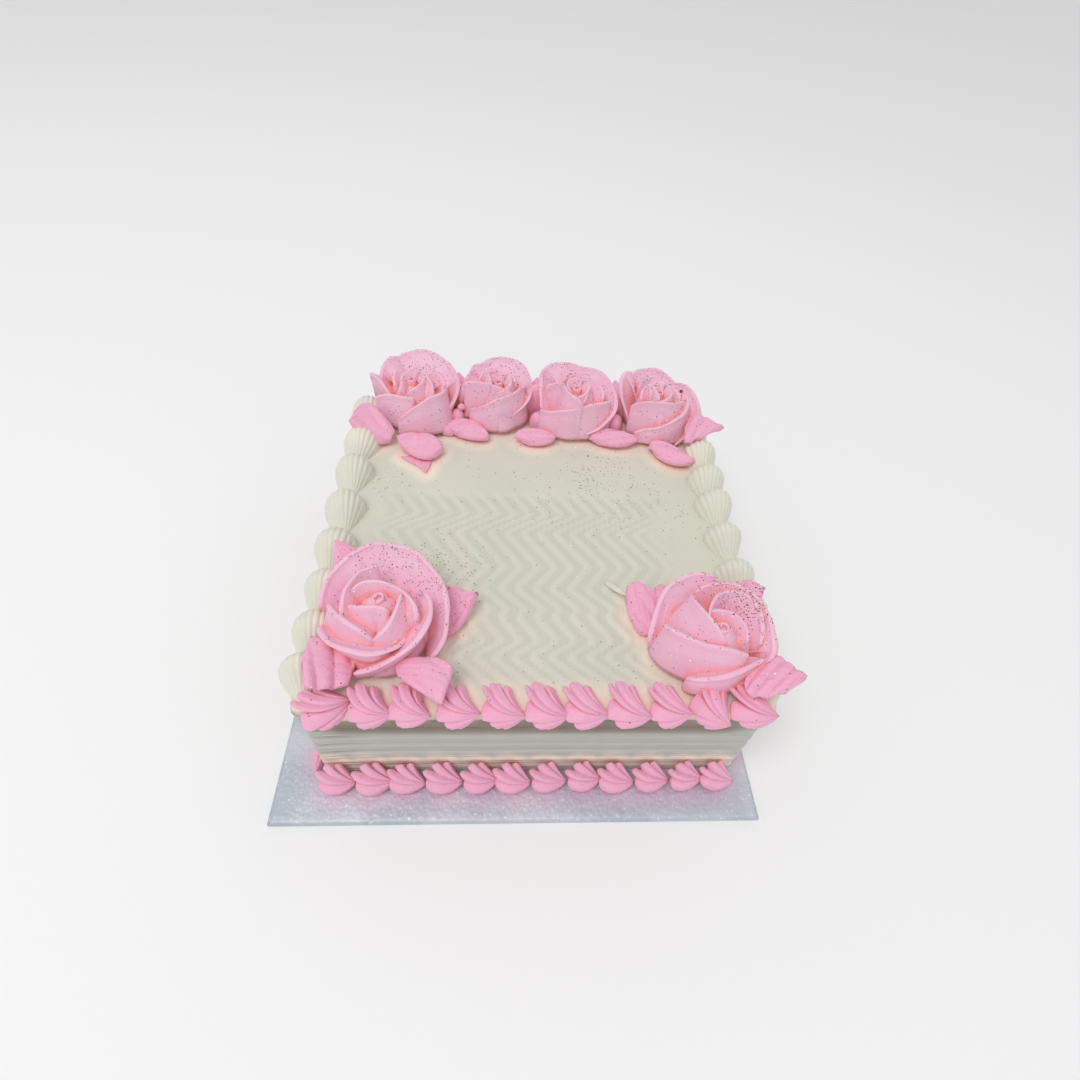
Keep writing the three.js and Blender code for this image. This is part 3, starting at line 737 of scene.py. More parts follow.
def ivory_cream(name, colours):
    """Ivory buttercream with painted shade in its grooves, under the front shells and on its wall, and painted peach
    and coral light beside the pink piping and at its foot.
    """
    finish = Finish(name)
    place = finish.place()
    blush = finish.value("blush")
    shade = finish.value("shade")
    piped = finish.value("piped")
    wall = finish.value("wall")
    cloud = finish.noise(place, 28.0)
    tone = finish.mix(cloud.between(0.35, 0.7), colour(colours.ivory), colour(colours.ivory_green))
    # Painted shade: the wall is a darker, greyer ivory than the top.
    tone = finish.mix(wall, tone, colour(colours.ivory_wall))
    tone = finish.mix(piped, tone, colour(colours.ivory_piped))
    # Painted shade in grooves, comb valleys and flutes, and a painted shadow under the front shells; weaker on the
    # piped shells.
    tone = finish.mix(shade.between(0.2, 1.0) * (0.85 - piped * 0.6), tone, colour(colours.ivory_shade))
    # Painted bounce light: peach on the ivory beside the pink piping.
    painted_warm_light = blush.between(0.35, 1.0) * (0.85 - piped * 0.5)
    tone = finish.mix(painted_warm_light, tone, colour(colours.peach))
    # Painted light: coral on the ivory where it touches the pink piping.
    glow = blush.between(0.72, 1.0) * (0.35 - piped * 0.2 - wall * 0.15)
    tone = finish.mix(glow, tone, colour(colours.coral))
    smear = finish.noise(place, 160.0, 4.0)
    fine = finish.noise(place, 900.0)
    return finish.set(
        Base_Color=tone,
        Roughness=0.34 + finish.noise(place, 120.0) * 0.2,
        Normal=finish.bump(smear * 0.7 + fine * 0.3, 0.0004, 0.55),
        IOR=1.44,
        Subsurface_Weight=0.15,
        Subsurface_Radius=(1.0, 0.8, 0.55),
        Subsurface_Scale=0.003,
    )


def board_foil(name, colours):
    """Crinkled silver foil over card, with painted glints on its crinkles and a painted pink reflection beside the
    piping.
    """
    finish = Finish(name)
    place = finish.place()
    cells = finish.node(
        "ShaderNodeTexVoronoi",
        {"feature": "F1"},
        {"Vector": place, "Scale": 420.0, "Randomness": 1.0},
        output="Distance",
    )
    crumple = finish.noise(place, 170.0, 6.0)
    cloud = finish.noise(place, 26.0)
    tone = finish.mix(cloud.between(0.3, 0.7), colour(colours.foil), colour(colours.foil_pale))
    # Painted glints: small bright spots where the crinkles would catch the lamp.
    painted_glints = finish.noise(place, 620.0, 2.0).between(0.6, 0.74)
    tone = finish.mix(painted_glints * 0.7, tone, (0.92, 0.94, 0.97, 1.0))
    # Painted reflection: pink on the foil beside the pink piping.
    tone = finish.mix(finish.value("blush") ** 1.6 * 0.45, tone, colour(colours.pink))
    return finish.set(
        Base_Color=tone,
        Metallic=0.25,
        Roughness=0.4 + crumple * 0.25,
        Normal=finish.bump(crumple * 0.7 + cells * 0.4, 0.0007, 0.8),
    )


def glitter_flakes(name, colours):
    """Fine flakes, most of them dark and some gold or silver."""
    finish = Finish(name)
    tint = finish.value("tint")
    tone = finish.mix(tint.between(0.45, 0.55), colour(colours.dark_flake), colour(colours.gold_flake))
    tone = finish.mix(tint.between(0.68, 0.74), tone, colour(colours.silver_flake))
    return finish.set(Base_Color=tone, Metallic=0.6, Roughness=0.3)


def threaded(points, spacing):
    """A smooth line through points, with a point at about every spacing."""
    ends = [2 * points[0] - points[1], 2 * points[-1] - points[-2]]
    points = np.array([ends[0], *points, ends[1]])
    line = []
    for a, b, c, d in zip(points, points[1:], points[2:], points[3:]):
        steps = max(2, round(np.linalg.norm(c - b) / spacing))
        t = np.arange(steps)[:, None] / steps
        line.append(
            b + 0.5 * t * (c - a + t * (2 * a - 5 * b + 4 * c - d + t * (3 * (b - c) + d - a)))
        )
    return np.concatenate([*line, points[-2:-1]])


def bowed(points, t):
    """A smooth line through four points, at each t from 0 to 1."""
    a, b, c, d = (np.array(point, float) for point in points)
    p, q, r, s = 3 * t, 3 * t - 1, 3 * t - 2, 3 * t - 3
    return (3 * p * s * (r * b - q * c) - q * r * (s * a - p * d)) / 6


def petal_skin(skins, flare, points, seed, fill):
    """One petal: a wedge of cream under a lip, which is broader on the outer petals.

    The fill is how quickly an inner petal thickens inwards below its lip.
    """
    line = threaded(np.array(points, float), 1.0)
    t = np.linspace(0, 1, len(line))[:, None]
    run = np.gradient(line[:, :2], axis=0)
    run = run / np.linalg.norm(run, axis=1)[:, None]
    out = np.stack([run[:, 1], -run[:, 0]], -1)
    out = out * np.sign((out * line[:, :2]).sum())
    radius = np.hypot(line[:, 0], line[:, 1])[:, None]
    lean = np.clip((radius - 12) / 14, 0, 1)
    ends = rounded(t / 0.08) * rounded((1 - t) / 0.1)
    along = np.cumsum(np.hypot(*np.diff(line[:, :2], axis=0, prepend=line[:1, :2]).T))[:, None]
    top = line[:, 2:] + 0.25 * np.sin(along / 3.1 + seed)
    lip = (0.75 + 0.6 * lean) * (0.35 + 0.65 * ends) * (1 + 0.12 * np.sin(along / 4.3 + 2 * seed))
    drop = top - 1.2 - 0.08 * top

    s = np.linspace(0, 1, 11)[None, :]
    waist = np.sin(np.pi * np.clip(s * 3, 0, 1)) * (0.5 + 0.9 * lean * (flare < 0))
    spread = (flare * drop * s) * (0.4 + 0.6 * ends)
    far_out = lip + spread - waist * ends
    slope = fill + (1 - fill) * lean
    reach = np.maximum(2.0, (out * line[:, :2]).sum(1)[:, None] - 1)
    far_in = lip + np.minimum(slope * drop * s ** 0.85, reach) * (0.3 + 0.7 * ends)
    bend = np.radians([25, 58, 90, 122, 155])[None, :]
    across = np.hstack([far_out[:, ::-1], lip * np.cos(bend), -far_in])
    level = top - drop * s
    lift = np.hstack([level[:, ::-1], top + 0.6 * lip * np.sin(bend), level])
    plan = line[:, None, :2] + across[:, :, None] * out[:, None]
    grid = np.concatenate([plan, lift[:, :, None]], -1)
    faces = np.hstack([-s + 0 * t, 0 * t * bend, s + 0 * t])[:, ::-1] * 14 + seed * 5
    skins.add(grid, closed=True, capped=True, across=faces, along=along + 0 * faces, pale=1.0)


def curl_skin(skins, curl):
    """The little open curl that a rose starts from."""
    t = np.linspace(0, 1, 48)[:, None]
    angle = np.radians(200 - 560 * t)
    r = 1.5 + 1.9 * t ** 1.5
    turn = np.linspace(0, 2 * np.pi, 12, endpoint=False)[None, :]
    ends = rounded(t / 0.05) * rounded((1 - t) / 0.12)
    ring_r = r + 0.6 * ends * np.cos(turn)
    ring_z = curl[2] - 1.6 - 2.5 * t ** 2 + ends * np.sin(turn) * np.where(np.sin(turn) > 0, 1.4, 4)
    grid = np.stack(
        [curl[0] + ring_r * np.cos(angle), curl[1] + ring_r * np.sin(angle), ring_z], -1
    )
    skins.add(grid, closed=True, capped=True, across=ring_z, along=r * angle + 0 * turn, pale=1.0)


def mound_skin(skins, curl, size):
    """The mound of cream that the petals are piped round, which leans to the curl."""
    outline = np.array(MOUND, float)
    angle = np.linspace(0, 2 * np.pi, 48, endpoint=False)[None, :]
    r = size * outline[:, :1] * (1 + 0.03 * np.sin(5 * angle))
    z = outline[:, 1:] * (curl[2] - 3) / 30 + 0 * angle
    lean = smooth(0, 30, z)
    grid = np.stack([curl[0] * lean + r * np.cos(angle), curl[1] * lean + r * np.sin(angle), z], -1)
    skins.add(grid, closed=True, capped=True, across=z, along=r * angle, pale=1.0)


def leaf_skin(skins, one, other, thickness, bulge, pleat, along, across):
    """A leaf: a thick sheet of cream between two edges, pleated, with a full round rim."""
    u = np.linspace(0.012, 0.988, 40)[:, None, None]
    v = np.linspace(-1, 1, 27)[None, :, None]
    middle = 0.5 * ((1 - v) * bowed(one, u) + (1 + v) * bowed(other, u))
    run = np.gradient(middle, axis=0)
    run = run / np.linalg.norm(run, axis=-1, keepdims=True)
    middle = middle + bulge * (1 - v * v) * u ** 3 * run
    up = np.cross(run, np.gradient(middle, axis=1))
    up = up / (np.linalg.norm(up, axis=-1, keepdims=True) + 1e-9)
    up = up * np.sign(up[20, 13, 2])
    wave = 2 * np.pi * (along * u + 0.5 * across * v) + 0.7 * np.sin(5 * u + thickness)
    fold = np.abs(np.sin(wave / 2)) ** 0.7 * 2 - 1.2
    pleats = pleat * fold * (0.35 + 0.65 * np.abs(v)) * rounded(u / 0.2) * rounded((1 - u) / 0.2)
    arch = 0.3 * thickness * (1 - v * v)
    ribs = 0.14 * np.sin(17 * v + 4 * u)
    full = np.sqrt(1 - np.abs(v) ** 6) * rounded(u / 0.08) * rounded((1 - u) / 0.08)
    above = middle + up * (pleats + full * (arch + thickness / 2 + ribs))
    below = middle + up * (pleats - full * thickness / 2)
    above[..., 2] = np.maximum(above[..., 2], 0.3 + 0.3 * full[..., 0])
    below[..., 2] = np.maximum(below[..., 2], 0.3)
    grid = np.concatenate([above, below[:, ::-1]], 1) + np.array([0, 0, TOP])
    width = np.linalg.norm(middle[:, -1] - middle[:, 0], axis=-1)[:, None]
    length = np.linalg.norm(np.subtract(one[3], one[0]))
    there_and_back = np.concatenate([v, v[:, ::-1]], 1)[..., 0]
    skins.add(
        grid,
        closed=True,
        capped=True,
        across=0.75 * width * there_and_back,
        along=length * u[..., 0] + 0 * there_and_back,
    )


def star_shell(shape, scale, number, steps, sides):
    """A shell from a star tip: creases run over it from between its fingers to its tail."""
    chance = np.random.default_rng(number + 3)
    t = np.linspace(0, 1, steps)[:, None] ** 1.5

    def path(head, over):
        return ((1 - t) ** 2 * head + 2 * t * (1 - t) * over + t * t * np.array(shape["tail"])) * scale

    core = path(*np.array(shape["core"], float))
    crests = [
        path(head + chance.uniform(-0.6, 0.6, 3), over + chance.uniform(-0.6, 0.6, 3))
        for head, over, *_ in shape["crests"]
    ]
    columns = []
    for crest, after, (*_, depth, place) in zip(crests, crests[1:] + crests[:1], shape["crests"]):
        for share in np.arange(sides) / sides:
            near = min(share / place, (1 - share) / (1 - place))
            roll = 1 - np.sqrt(1 - near ** 2)
            press = depth * roll * (1.5 + 0.8 * (1 - t) ** 3)
            belly = 0.34 * place * np.sin(np.pi * share) ** 0.8
            columns.append(core + (crest + (after - crest) * share - core) * (1 + belly - press))
    grid = np.stack(columns, 1)
    grid = core[:, None] + (grid - core[:, None]) * rounded(t / 0.14)[:, None]
    skins = Skins()
    around = np.arange(len(columns))[None, :] * 6.0 / sides
    skins.add(grid, closed=True, across=around + 0 * t, along=20 * t + 0 * around)
    return skins


def dab_skin(skins, middle, reach, turn):
    """A small rounded dab of cream."""
    lift = np.linspace(-0.5 * np.pi, 0.5 * np.pi, 10)[:, None]
    angle = np.linspace(0, 2 * np.pi, 20, endpoint=False)[None, :]
    uneven = 1 + 0.08 * np.sin(3 * angle + reach[0])
    x = reach[0] * np.cos(lift) * np.cos(angle) * uneven
    y = reach[1] * np.cos(lift) * np.sin(angle) * uneven
    c, s = np.cos(np.radians(turn)), np.sin(np.radians(turn))
    z = np.maximum(-1.2, middle[2] + reach[2] * np.sin(lift) + 0 * angle)
    grid = np.stack([middle[0] + c * x - s * y, middle[1] + s * x + c * y, TOP + z], -1)
    skins.add(grid, closed=True, across=0.0, along=0.0)


def fluted_shell(length, seed):
    """A shell from a finely toothed tip: a blunt fluted head that narrows to its tail."""
    skins = Skins()
    width, height, flutes = 24, 20, 11
    u = np.linspace(0, 1, 34)[:, None]
    u = 0.6 * u + 0.4 * (0.5 - 0.5 * np.cos(np.pi * u))
    over = np.linspace(0, np.pi, flutes * 8 + 1)[None, :]
    swell = rounded(u / 0.45) * (1 - 0.8 * smooth(0.3, 1, u)) * rounded((1 - u) / 0.03) + 0.01
    flute = 1 - np.abs(np.sin(flutes * over + 0.5 * np.sin(3 * u + seed))) ** 0.8
    cut = 1 - 0.05 * flute * smooth(0.0, 0.2, u) * smooth(1, 0.75, u)
    twist = 0.9 * np.sin(2.6 * u + seed) * np.sin(over)
    x = length * (u - 0.42) + 0 * over
    y = -width / 2 * np.cos(over) * swell * cut + twist
    z = height * np.sin(over) ** 0.85 * swell * cut
    under = np.linspace(0.8, -0.8, 5)[None, :]
    x = np.hstack([x, x[:, :5]])
    y = np.hstack([y, width / 2 * under * swell])
    z = np.hstack([z, -1 + 0 * under * swell])
    skins.add(np.stack([x, y, z], -1), closed=True, capped=True, piped=1.0)
    return skins


def glitter_tree():
    """Geometry Nodes that scatter flakes over the creams, thickest where glitter fell."""
    tree = bpy.data.node_groups.new("fallen_glitter", "GeometryNodeTree")
    inputs = {
        "Base": "NodeSocketGeometry",
        "Creams": "NodeSocketCollection",
        "Density": "NodeSocketFloat",
        "Size": "NodeSocketFloat",
        "Seed": "NodeSocketInt",
        "Flakes": "NodeSocketMaterial",
    }
    for name, kind in inputs.items():
        tree.interface.new_socket(name, in_out="INPUT", socket_type=kind)
    tree.interface.new_socket("Glitter", in_out="OUTPUT", socket_type="NodeSocketGeometry")
    nodes = Nodes(tree)
    group = tree.nodes.new("NodeGroupInput")
    given = {name: Socket(nodes, group.outputs[name]) for name in inputs}
    creams = nodes.node("GeometryNodeCollectionInfo", values={"Collection": given["Creams"]})
    surface = nodes.node("GeometryNodeRealizeInstances", values={"Geometry": creams})
    fallen = nodes.node("GeometryNodeInputNamedAttribute", {"data_type": "FLOAT"}, {"Name": "glitter"})
    points = nodes.node(
        "GeometryNodeDistributePointsOnFaces",
        {"distribute_method": "RANDOM"},
        {"Mesh": surface, "Density": fallen * given["Density"], "Seed": given["Seed"]},
        output="Points",
    )
    lie = Socket(nodes, points.output.node.outputs["Rotation"])
    tint = nodes.node(
        "FunctionNodeRandomValue",
        {"data_type": "FLOAT"},
        {"Min": 0.0, "Max": 1.0, "Seed": given["Seed"] + 1},
    )
    tinted = nodes.node(
        "GeometryNodeStoreNamedAttribute",
        {"data_type": "FLOAT", "domain": "POINT"},
        {"Geometry": points, "Name": "tint", "Value": tint},
    )
    uneven = nodes.node(
        "FunctionNodeRandomValue",
        {"data_type": "FLOAT"},
        {"Min": 0.5, "Max": 1.5, "Seed": given["Seed"] + 2},
    )
    flake = nodes.node(
        "GeometryNodeMeshCone",
        {"fill_type": "NGON"},
        {"Vertices": 5, "Radius Top": 0.0, "Radius Bottom": given["Size"] * 0.5, "Depth": given["Size"] * 0.4},
        output="Mesh",
    )
    strewn = nodes.node(
        "GeometryNodeInstanceOnPoints",
        values={"Points": tinted, "Instance": flake, "Rotation": lie, "Scale": uneven},
    )
    real = nodes.node("GeometryNodeRealizeInstances", values={"Geometry": strewn})
    coated = nodes.node("GeometryNodeSetMaterial", values={"Geometry": real, "Material": given["Flakes"]})
    end = tree.nodes.new("NodeGroupOutput")
    nodes.feed(end.inputs["Glitter"], coated)
    return tree


def glitter_on(mesh, share):
    """How thickly glitter lies on each point of a mesh, which is most where it faces up."""
    points, normals = (np.empty((len(mesh.vertices), 3), np.float32) for _ in range(2))
    mesh.vertices.foreach_get("co", points.ravel())
    mesh.vertices.foreach_get("normal", normals.ravel())
    x, y = points[:, 0] / MM, points[:, 1] / MM
    thick = share + 0 * x
    for spot_x, spot_y, spread, strength in GLITTER_SPOTS:
        far = ((x - spot_x) ** 2 + (y - spot_y) ** 2) / spread ** 2
        thick = thick + strength * np.exp(-far)
    patchy = 0.6 + 0.4 * np.sin(x / 2.7 + 2 * np.sin(y / 4.1)) * np.sin(y / 3.3 + x / 9)
    on_top = smooth(TOP - 8, TOP - 3, points[:, 2] / MM)
    return np.clip(thick * patchy, 0, 2) * np.clip(normals[:, 2] + 0.1, 0, 1) * on_top


def row_tree():
    """Geometry Nodes that put a shell on every point of a row."""
    tree = bpy.data.node_groups.new("piped_row", "GeometryNodeTree")
    inputs = {
        "Row": "NodeSocketGeometry",
        "Shells": "NodeSocketCollection",
        "Unevenness": "NodeSocketFloat",
        "Seed": "NodeSocketInt",
        "Cream": "NodeSocketMaterial",
    }
    for name, kind in inputs.items():
        tree.interface.new_socket(name, in_out="INPUT", socket_type=kind)
    tree.interface.new_socket("Piping", in_out="OUTPUT", socket_type="NodeSocketGeometry")
    nodes = Nodes(tree)
    group = tree.nodes.new("NodeGroupInput")
    given = {name: Socket(nodes, group.outputs[name]) for name in inputs}
    uneven = nodes.node(
        "FunctionNodeRandomValue",
        {"data_type": "FLOAT"},
        {"Min": 1 - given["Unevenness"], "Max": 1 + given["Unevenness"], "Seed": given["Seed"]},
    )
    size = nodes.node("GeometryNodeInputNamedAttribute", {"data_type": "FLOAT_VECTOR"}, {"Name": "size"})
    scaled = nodes.node("ShaderNodeVectorMath", {"operation": "SCALE"}, {"Vector": size, "Scale": uneven})
    turn = nodes.node("GeometryNodeInputNamedAttribute", {"data_type": "FLOAT"}, {"Name": "turn"})
    kind = nodes.node("GeometryNodeInputNamedAttribute", {"data_type": "INT"}, {"Name": "kind"})
    angles = nodes.node("ShaderNodeCombineXYZ", values={"Z": turn})
    rotation = nodes.node("FunctionNodeEulerToRotation", values={"Euler": angles})
    shells = nodes.node(
        "GeometryNodeCollectionInfo",
        values={"Collection": given["Shells"], "Separate Children": True, "Reset Children": True},
    )
    points = nodes.node("GeometryNodeMeshToPoints", values={"Mesh": given["Row"]})
    piped = nodes.node(
        "GeometryNodeInstanceOnPoints",
        values={
            "Points": points,
            "Instance": shells,
            "Pick Instance": True,
            "Instance Index": kind,
            "Rotation": rotation,
            "Scale": scaled,
        },
    )
    real = nodes.node("GeometryNodeRealizeInstances", values={"Geometry": piped})
    coated = nodes.node("GeometryNodeSetMaterial", values={"Geometry": real, "Material": given["Cream"]})
    end = tree.nodes.new("NodeGroupOutput")
    nodes.feed(end.inputs["Piping"], coated)
    return tree


def grown(base, tree, inputs):
    """The plain mesh that a Geometry Nodes tree makes of an object."""
    modifier = base.modifiers.new("nodes", "NODES")
    modifier.node_group = tree
    for item in tree.interface.items_tree:
        if item.in_out == "INPUT" and item.name in inputs:
            modifier[item.identifier] = inputs[item.name]
    depsgraph = bpy.context.evaluated_depsgraph_get()
    mesh = bpy.data.meshes.new_from_object(base.evaluated_get(depsgraph))
    base.modifiers.remove(modifier)
    base.data = mesh
    if not mesh.polygons:
        raise RuntimeError(f"{base.name} came out empty")
    return base


def piped_row(name, shells, spots, turns, sizes, material, seed, uneven):
    """A row of shells, piped at the spots one kind after another."""
    kinds = bpy.data.collections.new(name)
    for number, skins in enumerate(shells):
        label = f"{name}_shell_{number}"
        kinds.objects.link(bpy.data.objects.new(label, skins.mesh(label)))
    mesh = bpy.data.meshes.new(name)
    mesh.from_pydata((np.array(spots, float) * MM).tolist(), [], [])
    turned = mesh.attributes.new("turn", "FLOAT", "POINT")
    turned.data.foreach_set("value", np.radians(turns).astype(np.float32))
    kind = mesh.attributes.new("kind", "INT", "POINT")
    kind.data.foreach_set("value", np.arange(len(spots)) * 3 % len(shells))
    sized = mesh.attributes.new("size", "FLOAT_VECTOR", "POINT")
    sized.data.foreach_set("vector", np.array(sizes, np.float32).ravel())
    row = add_object(name, mesh)
    tree = bpy.data.node_groups.get("piped_row") or row_tree()
    grown(row, tree, {"Shells": kinds, "Unevenness": uneven, "Seed": seed, "Cream": material})
    for shell in list(kinds.objects):
        bpy.data.objects.remove(shell)
    bpy.data.collections.remove(kinds)
    return row


def finish_of(make, context):
    """A material that is made the first time it is asked for."""
    name = "finish_" + make.__name__
    return bpy.data.materials.get(name) or make(name, context.scene.cake_colours)


def pieces_in(material, context):
    """The pieces that have this material."""
    meshes = [piece for piece in context.scene.objects if piece.type == "MESH"]
    return [piece for piece in meshes if material.name in piece.data.materials]


def comb_relief(x, y):
    """How deep the comb has cut the top at x, y."""
    turns = np.array(sorted(COMB_TURNS), float)
    path = (np.interp(y - 1.3, turns[:, 0], turns[:, 1]) + np.interp(y + 1.3, turns[:, 0], turns[:, 1])) / 2
    pitch = 9.3
    phase = (x - path - COMB["first"]) / pitch
    across = np.abs((phase + 0.5) % 1 - 0.5) * 2
    valley = -np.cos(0.5 * np.pi * across) ** 0.8
    tooth = 0.09 * np.cos(2 * np.pi * 3 * phase)
    fade = smooth(-92, -84, x - 0.3 * path) * smooth(86, 66, x - 0.3 * path)
    fade = fade * smooth(33, 25, y) * smooth(-108, -99, y)
    for rose in ROSES[:2]:
        far = np.hypot(x - rose["spot"][0], y - rose["spot"][1])
        fade = fade * smooth(24, 38, far)
    return (valley + tooth) * fade


def surface_tree(meshes):
    """A search tree over the surfaces of several meshes."""
    points, faces = [], []
    for mesh in meshes:
        first = len(points)
        points += [vertex.co.copy() for vertex in mesh.vertices]
        faces += [[first + corner for corner in face.vertices] for face in mesh.polygons]
    return BVHTree.FromPolygons(points, faces)


def spread_rays(count):
    """Directions spread evenly over a ball."""
    z = 1 - (np.arange(count) + 0.5) * 2 / count
    turn = np.arange(count) * np.pi * (3 - 5 ** 0.5)
    flat = np.sqrt(1 - z * z)
    return [Vector(ray) for ray in zip(flat * np.cos(turn), flat * np.sin(turn), z)]


def hollows(mesh, tree, reach):
    """How much each point is closed in by cream within reach of it, from 0 to 1."""
    rays = spread_rays(18)
    found = []
    for vertex in mesh.vertices:
        normal = vertex.normal
        start = vertex.co + normal * 0.0002
        total = closed = 0.0
        for ray in rays:
            weight = ray.dot(normal)
            if weight > 0.1:
                total += weight
                distance = tree.ray_cast(start, ray, reach)[3]
                if distance is not None and distance > 0.0005:
                    closed += weight * (1 - distance / reach)
        found.append(closed / max(total, 0.1))
    return found


def nearness(mesh, tree, reach):
    """How near each point is to a surface, from 0 at reach to 1 at the surface."""
    found = []
    for vertex in mesh.vertices:
        distance = tree.find_nearest(vertex.co, reach)[3]
        found.append(0.0 if distance is None else 1 - distance / reach)
    return found


def store(mesh, name, values):
    attribute = mesh.attributes.get(name) or mesh.attributes.new(name, "FLOAT", "POINT")
    attribute.data.foreach_set("value", np.array(values, np.float32))


def rounded_square(a, b, half, corner):
    """Turns a square from -1 to 1 into one with round corners."""
    x, y = a * half, b * half
    inner = half - corner
    p, q = (np.abs(x) - inner) / corner, (np.abs(y) - inner) / corner
    far = np.maximum(p, q)
    safe = np.where(far > 0, far, 1)
    angle = np.where(p >= q, 0.25 * np.pi * q / safe, 0.5 * np.pi - 0.25 * np.pi * p / safe)
    at_corner = (p > 0) & (q > 0)
    round_x = np.sign(x) * (inner + corner * far * np.cos(angle))
    round_y = np.sign(y) * (inner + corner * far * np.sin(angle))
    return np.where(at_corner, round_x, x), np.where(at_corner, round_y, y)


def rim_of(index):
    """The border of a grid, once round."""
    return np.concatenate([index[0, :-1], index[:-1, -1], index[-1, :0:-1], index[:0:-1, 0]])


def block_mesh(name, top, walls, top_values, wall_values):
    """A closed block from a grid for its top and rings for its walls, closed underneath."""
    skins = Skins()
    index = skins.add(top, **top_values)
    ring = skins.add(walls, closed=True, **wall_values)
    rim = rim_of(index)
    after = np.roll(rim, -1)
    below, below_after = ring[0], np.roll(ring[0], -1)
    skins.faces += np.stack([rim, after, below_after, below], -1).tolist()
    skins.faces.append(ring[-1].tolist())
    return skins.mesh(name, turned_out=False)


def edge_frame(x, y, half, corner):
    """The outward direction at each point of a rounded square's edge, and the way round it."""
    inner = half - corner
    away = np.stack([np.clip(np.abs(x) - inner, 0, None) * np.sign(x), np.clip(np.abs(y) - inner, 0, None) * np.sign(y)], -1)
    away = away / np.linalg.norm(away, axis=-1, keepdims=True)
    step = np.hypot(np.diff(x, append=x[:1]), np.diff(y, append=y[:1]))
    return away, np.cumsum(step)


def body_mesh(sizes):
    """The cake: combed in a herringbone on its top and in level bands round its wall."""
    top_half = HALF + 1.1
    a = np.linspace(-1, 1, 251)[None, :]
    b = np.linspace(-1, 1, 121)[:, None]
    x, y = rounded_square(a + 0 * b, b + 0 * a, top_half, CORNER)
    depth = sizes.comb_depth / MM
    swell = 0.12 * np.sin(x / 23 + 1) * np.sin(y / 31)
    z = TOP - 0.15 + depth * comb_relief(x, y) + swell * smooth(111, 100, np.maximum(np.abs(x), np.abs(y)))
    top = np.stack([x, y, z], -1)

    rim_x, rim_y = rim_of(x), rim_of(y)
    away, round_the_cake = edge_frame(rim_x, rim_y, top_half, CORNER)
    pitch = (TOP - CAKE_FOOT) / BANDS
    steps = np.array([band + share for band in range(BANDS) for share in BAND_ROWS])
    steps = np.append(steps[steps < BANDS - 0.1], BANDS - 0.08)[::-1, None]
    s = round_the_cake[None, :]
    drift = 0.45 * np.sin(s / 31 + 1) + 0.25 * np.sin(s / 11) + 0.12 * np.sin(s / 3.7)
    drift = drift + 2.2 * np.exp(-(((rim_x + 112) / 12) ** 2)) * smooth(-104, -109, rim_y)
    level = CAKE_FOOT + pitch * steps - drift * smooth(0, 1, steps) * smooth(BANDS, BANDS - 1, steps)
    band = steps % 1
    groove = np.minimum(band / 0.6, 1 - band)
    ragged = 1 + 0.25 * np.sin(s / 1.9 + 3 * np.sin(s / 7.3 + 2 * steps)) * np.sin(s / 5.3 + steps)
    torn = np.exp(-((rim_x + 104) ** 2 + (rim_y + 108) ** 2) / 140)
    groove = np.exp(-((groove / 0.065) ** 2))
    cut = -sizes.band_groove / MM * ragged * groove * (1 + 1.5 * torn) + 0.3 * np.sin(np.pi * band)
    line = np.exp(-(((band - 0.36) / 0.03) ** 2)) + 0.8 * np.exp(-(((band - 0.68) / 0.03) ** 2))
    line = line * (0.6 + 0.4 * np.sin(s / 17 + level / 9)) * (1 + 2.5 * torn)
    lean = LIP["reach"] * np.clip((level - TOP + LIP["height"]) / LIP["height"], 0, 1) ** 2
    shoulder = -1.6 * smooth(TOP - 2.2, TOP, level)
    out = HALF - top_half + lean + cut - 0.34 * line + shoulder
    wall = np.stack([rim_x + away[:, 0] * out, rim_y + away[:, 1] * out, level + 0 * s], -1)

    # Painted shade on the wall: dark in its grooves and lines, darker in the gaps at the front left corner, and a
    # painted shadow under the front shells.
    front_shadow = 0.35 + 0.65 * smooth(-104, -109, rim_y) * smooth(112, 88, np.abs(rim_x))
    corner_gap_shade = np.exp(-(((rim_x + 98) / 13) ** 2)) * smooth(-104, -109, rim_y)
    shade = np.maximum((0.6 + corner_gap_shade) * groove, front_shadow * smooth(TOP - 32, TOP - 19, level))
    shade = np.clip(np.maximum(shade, 0.4 * line), 0, 1) * smooth(CAKE_FOOT, CAKE_FOOT + 12, level)
    # Painted shade in the comb's valleys on the top.
    valley = 0.38 * np.clip(-comb_relief(x, y), 0, 1)
    top_values = {"shade": valley, "wall": 0.0}
    return block_mesh("cake_body_cream", top, wall, top_values, {"shade": shade, "wall": 1.0})


class CakeSizes(bpy.types.PropertyGroup):
    """Sizes that change how the cream is combed and piped."""

    comb_depth: FloatProperty(
        name="Comb depth", description="Depth of the herringbone in the top", default=0.0011, unit="LENGTH"
    )
    band_groove: FloatProperty(
        name="Band groove", description="Depth of the grooves round the wall", default=0.0015, unit="LENGTH"
    )
    leaf_thickness: FloatProperty(
        name="Leaf thickness", description="Thickness of the piped leaves, times their own", default=1.0, subtype="FACTOR"
    )
    unevenness: FloatProperty(
        name="Unevenness", description="How much the shells of a row differ in size", default=0.04, subtype="FACTOR"
    )
    glitter_size: FloatProperty(
        name="Glitter size", description="Width of a flake of glitter", default=0.00055, unit="LENGTH"
    )
    glitter_density: FloatProperty(
        name="Glitter density", description="Flakes on a square metre where glitter is thickest", default=800000.0
    )
    seed: IntProperty(name="Seed", description="Changes where the glitter falls", default=7)


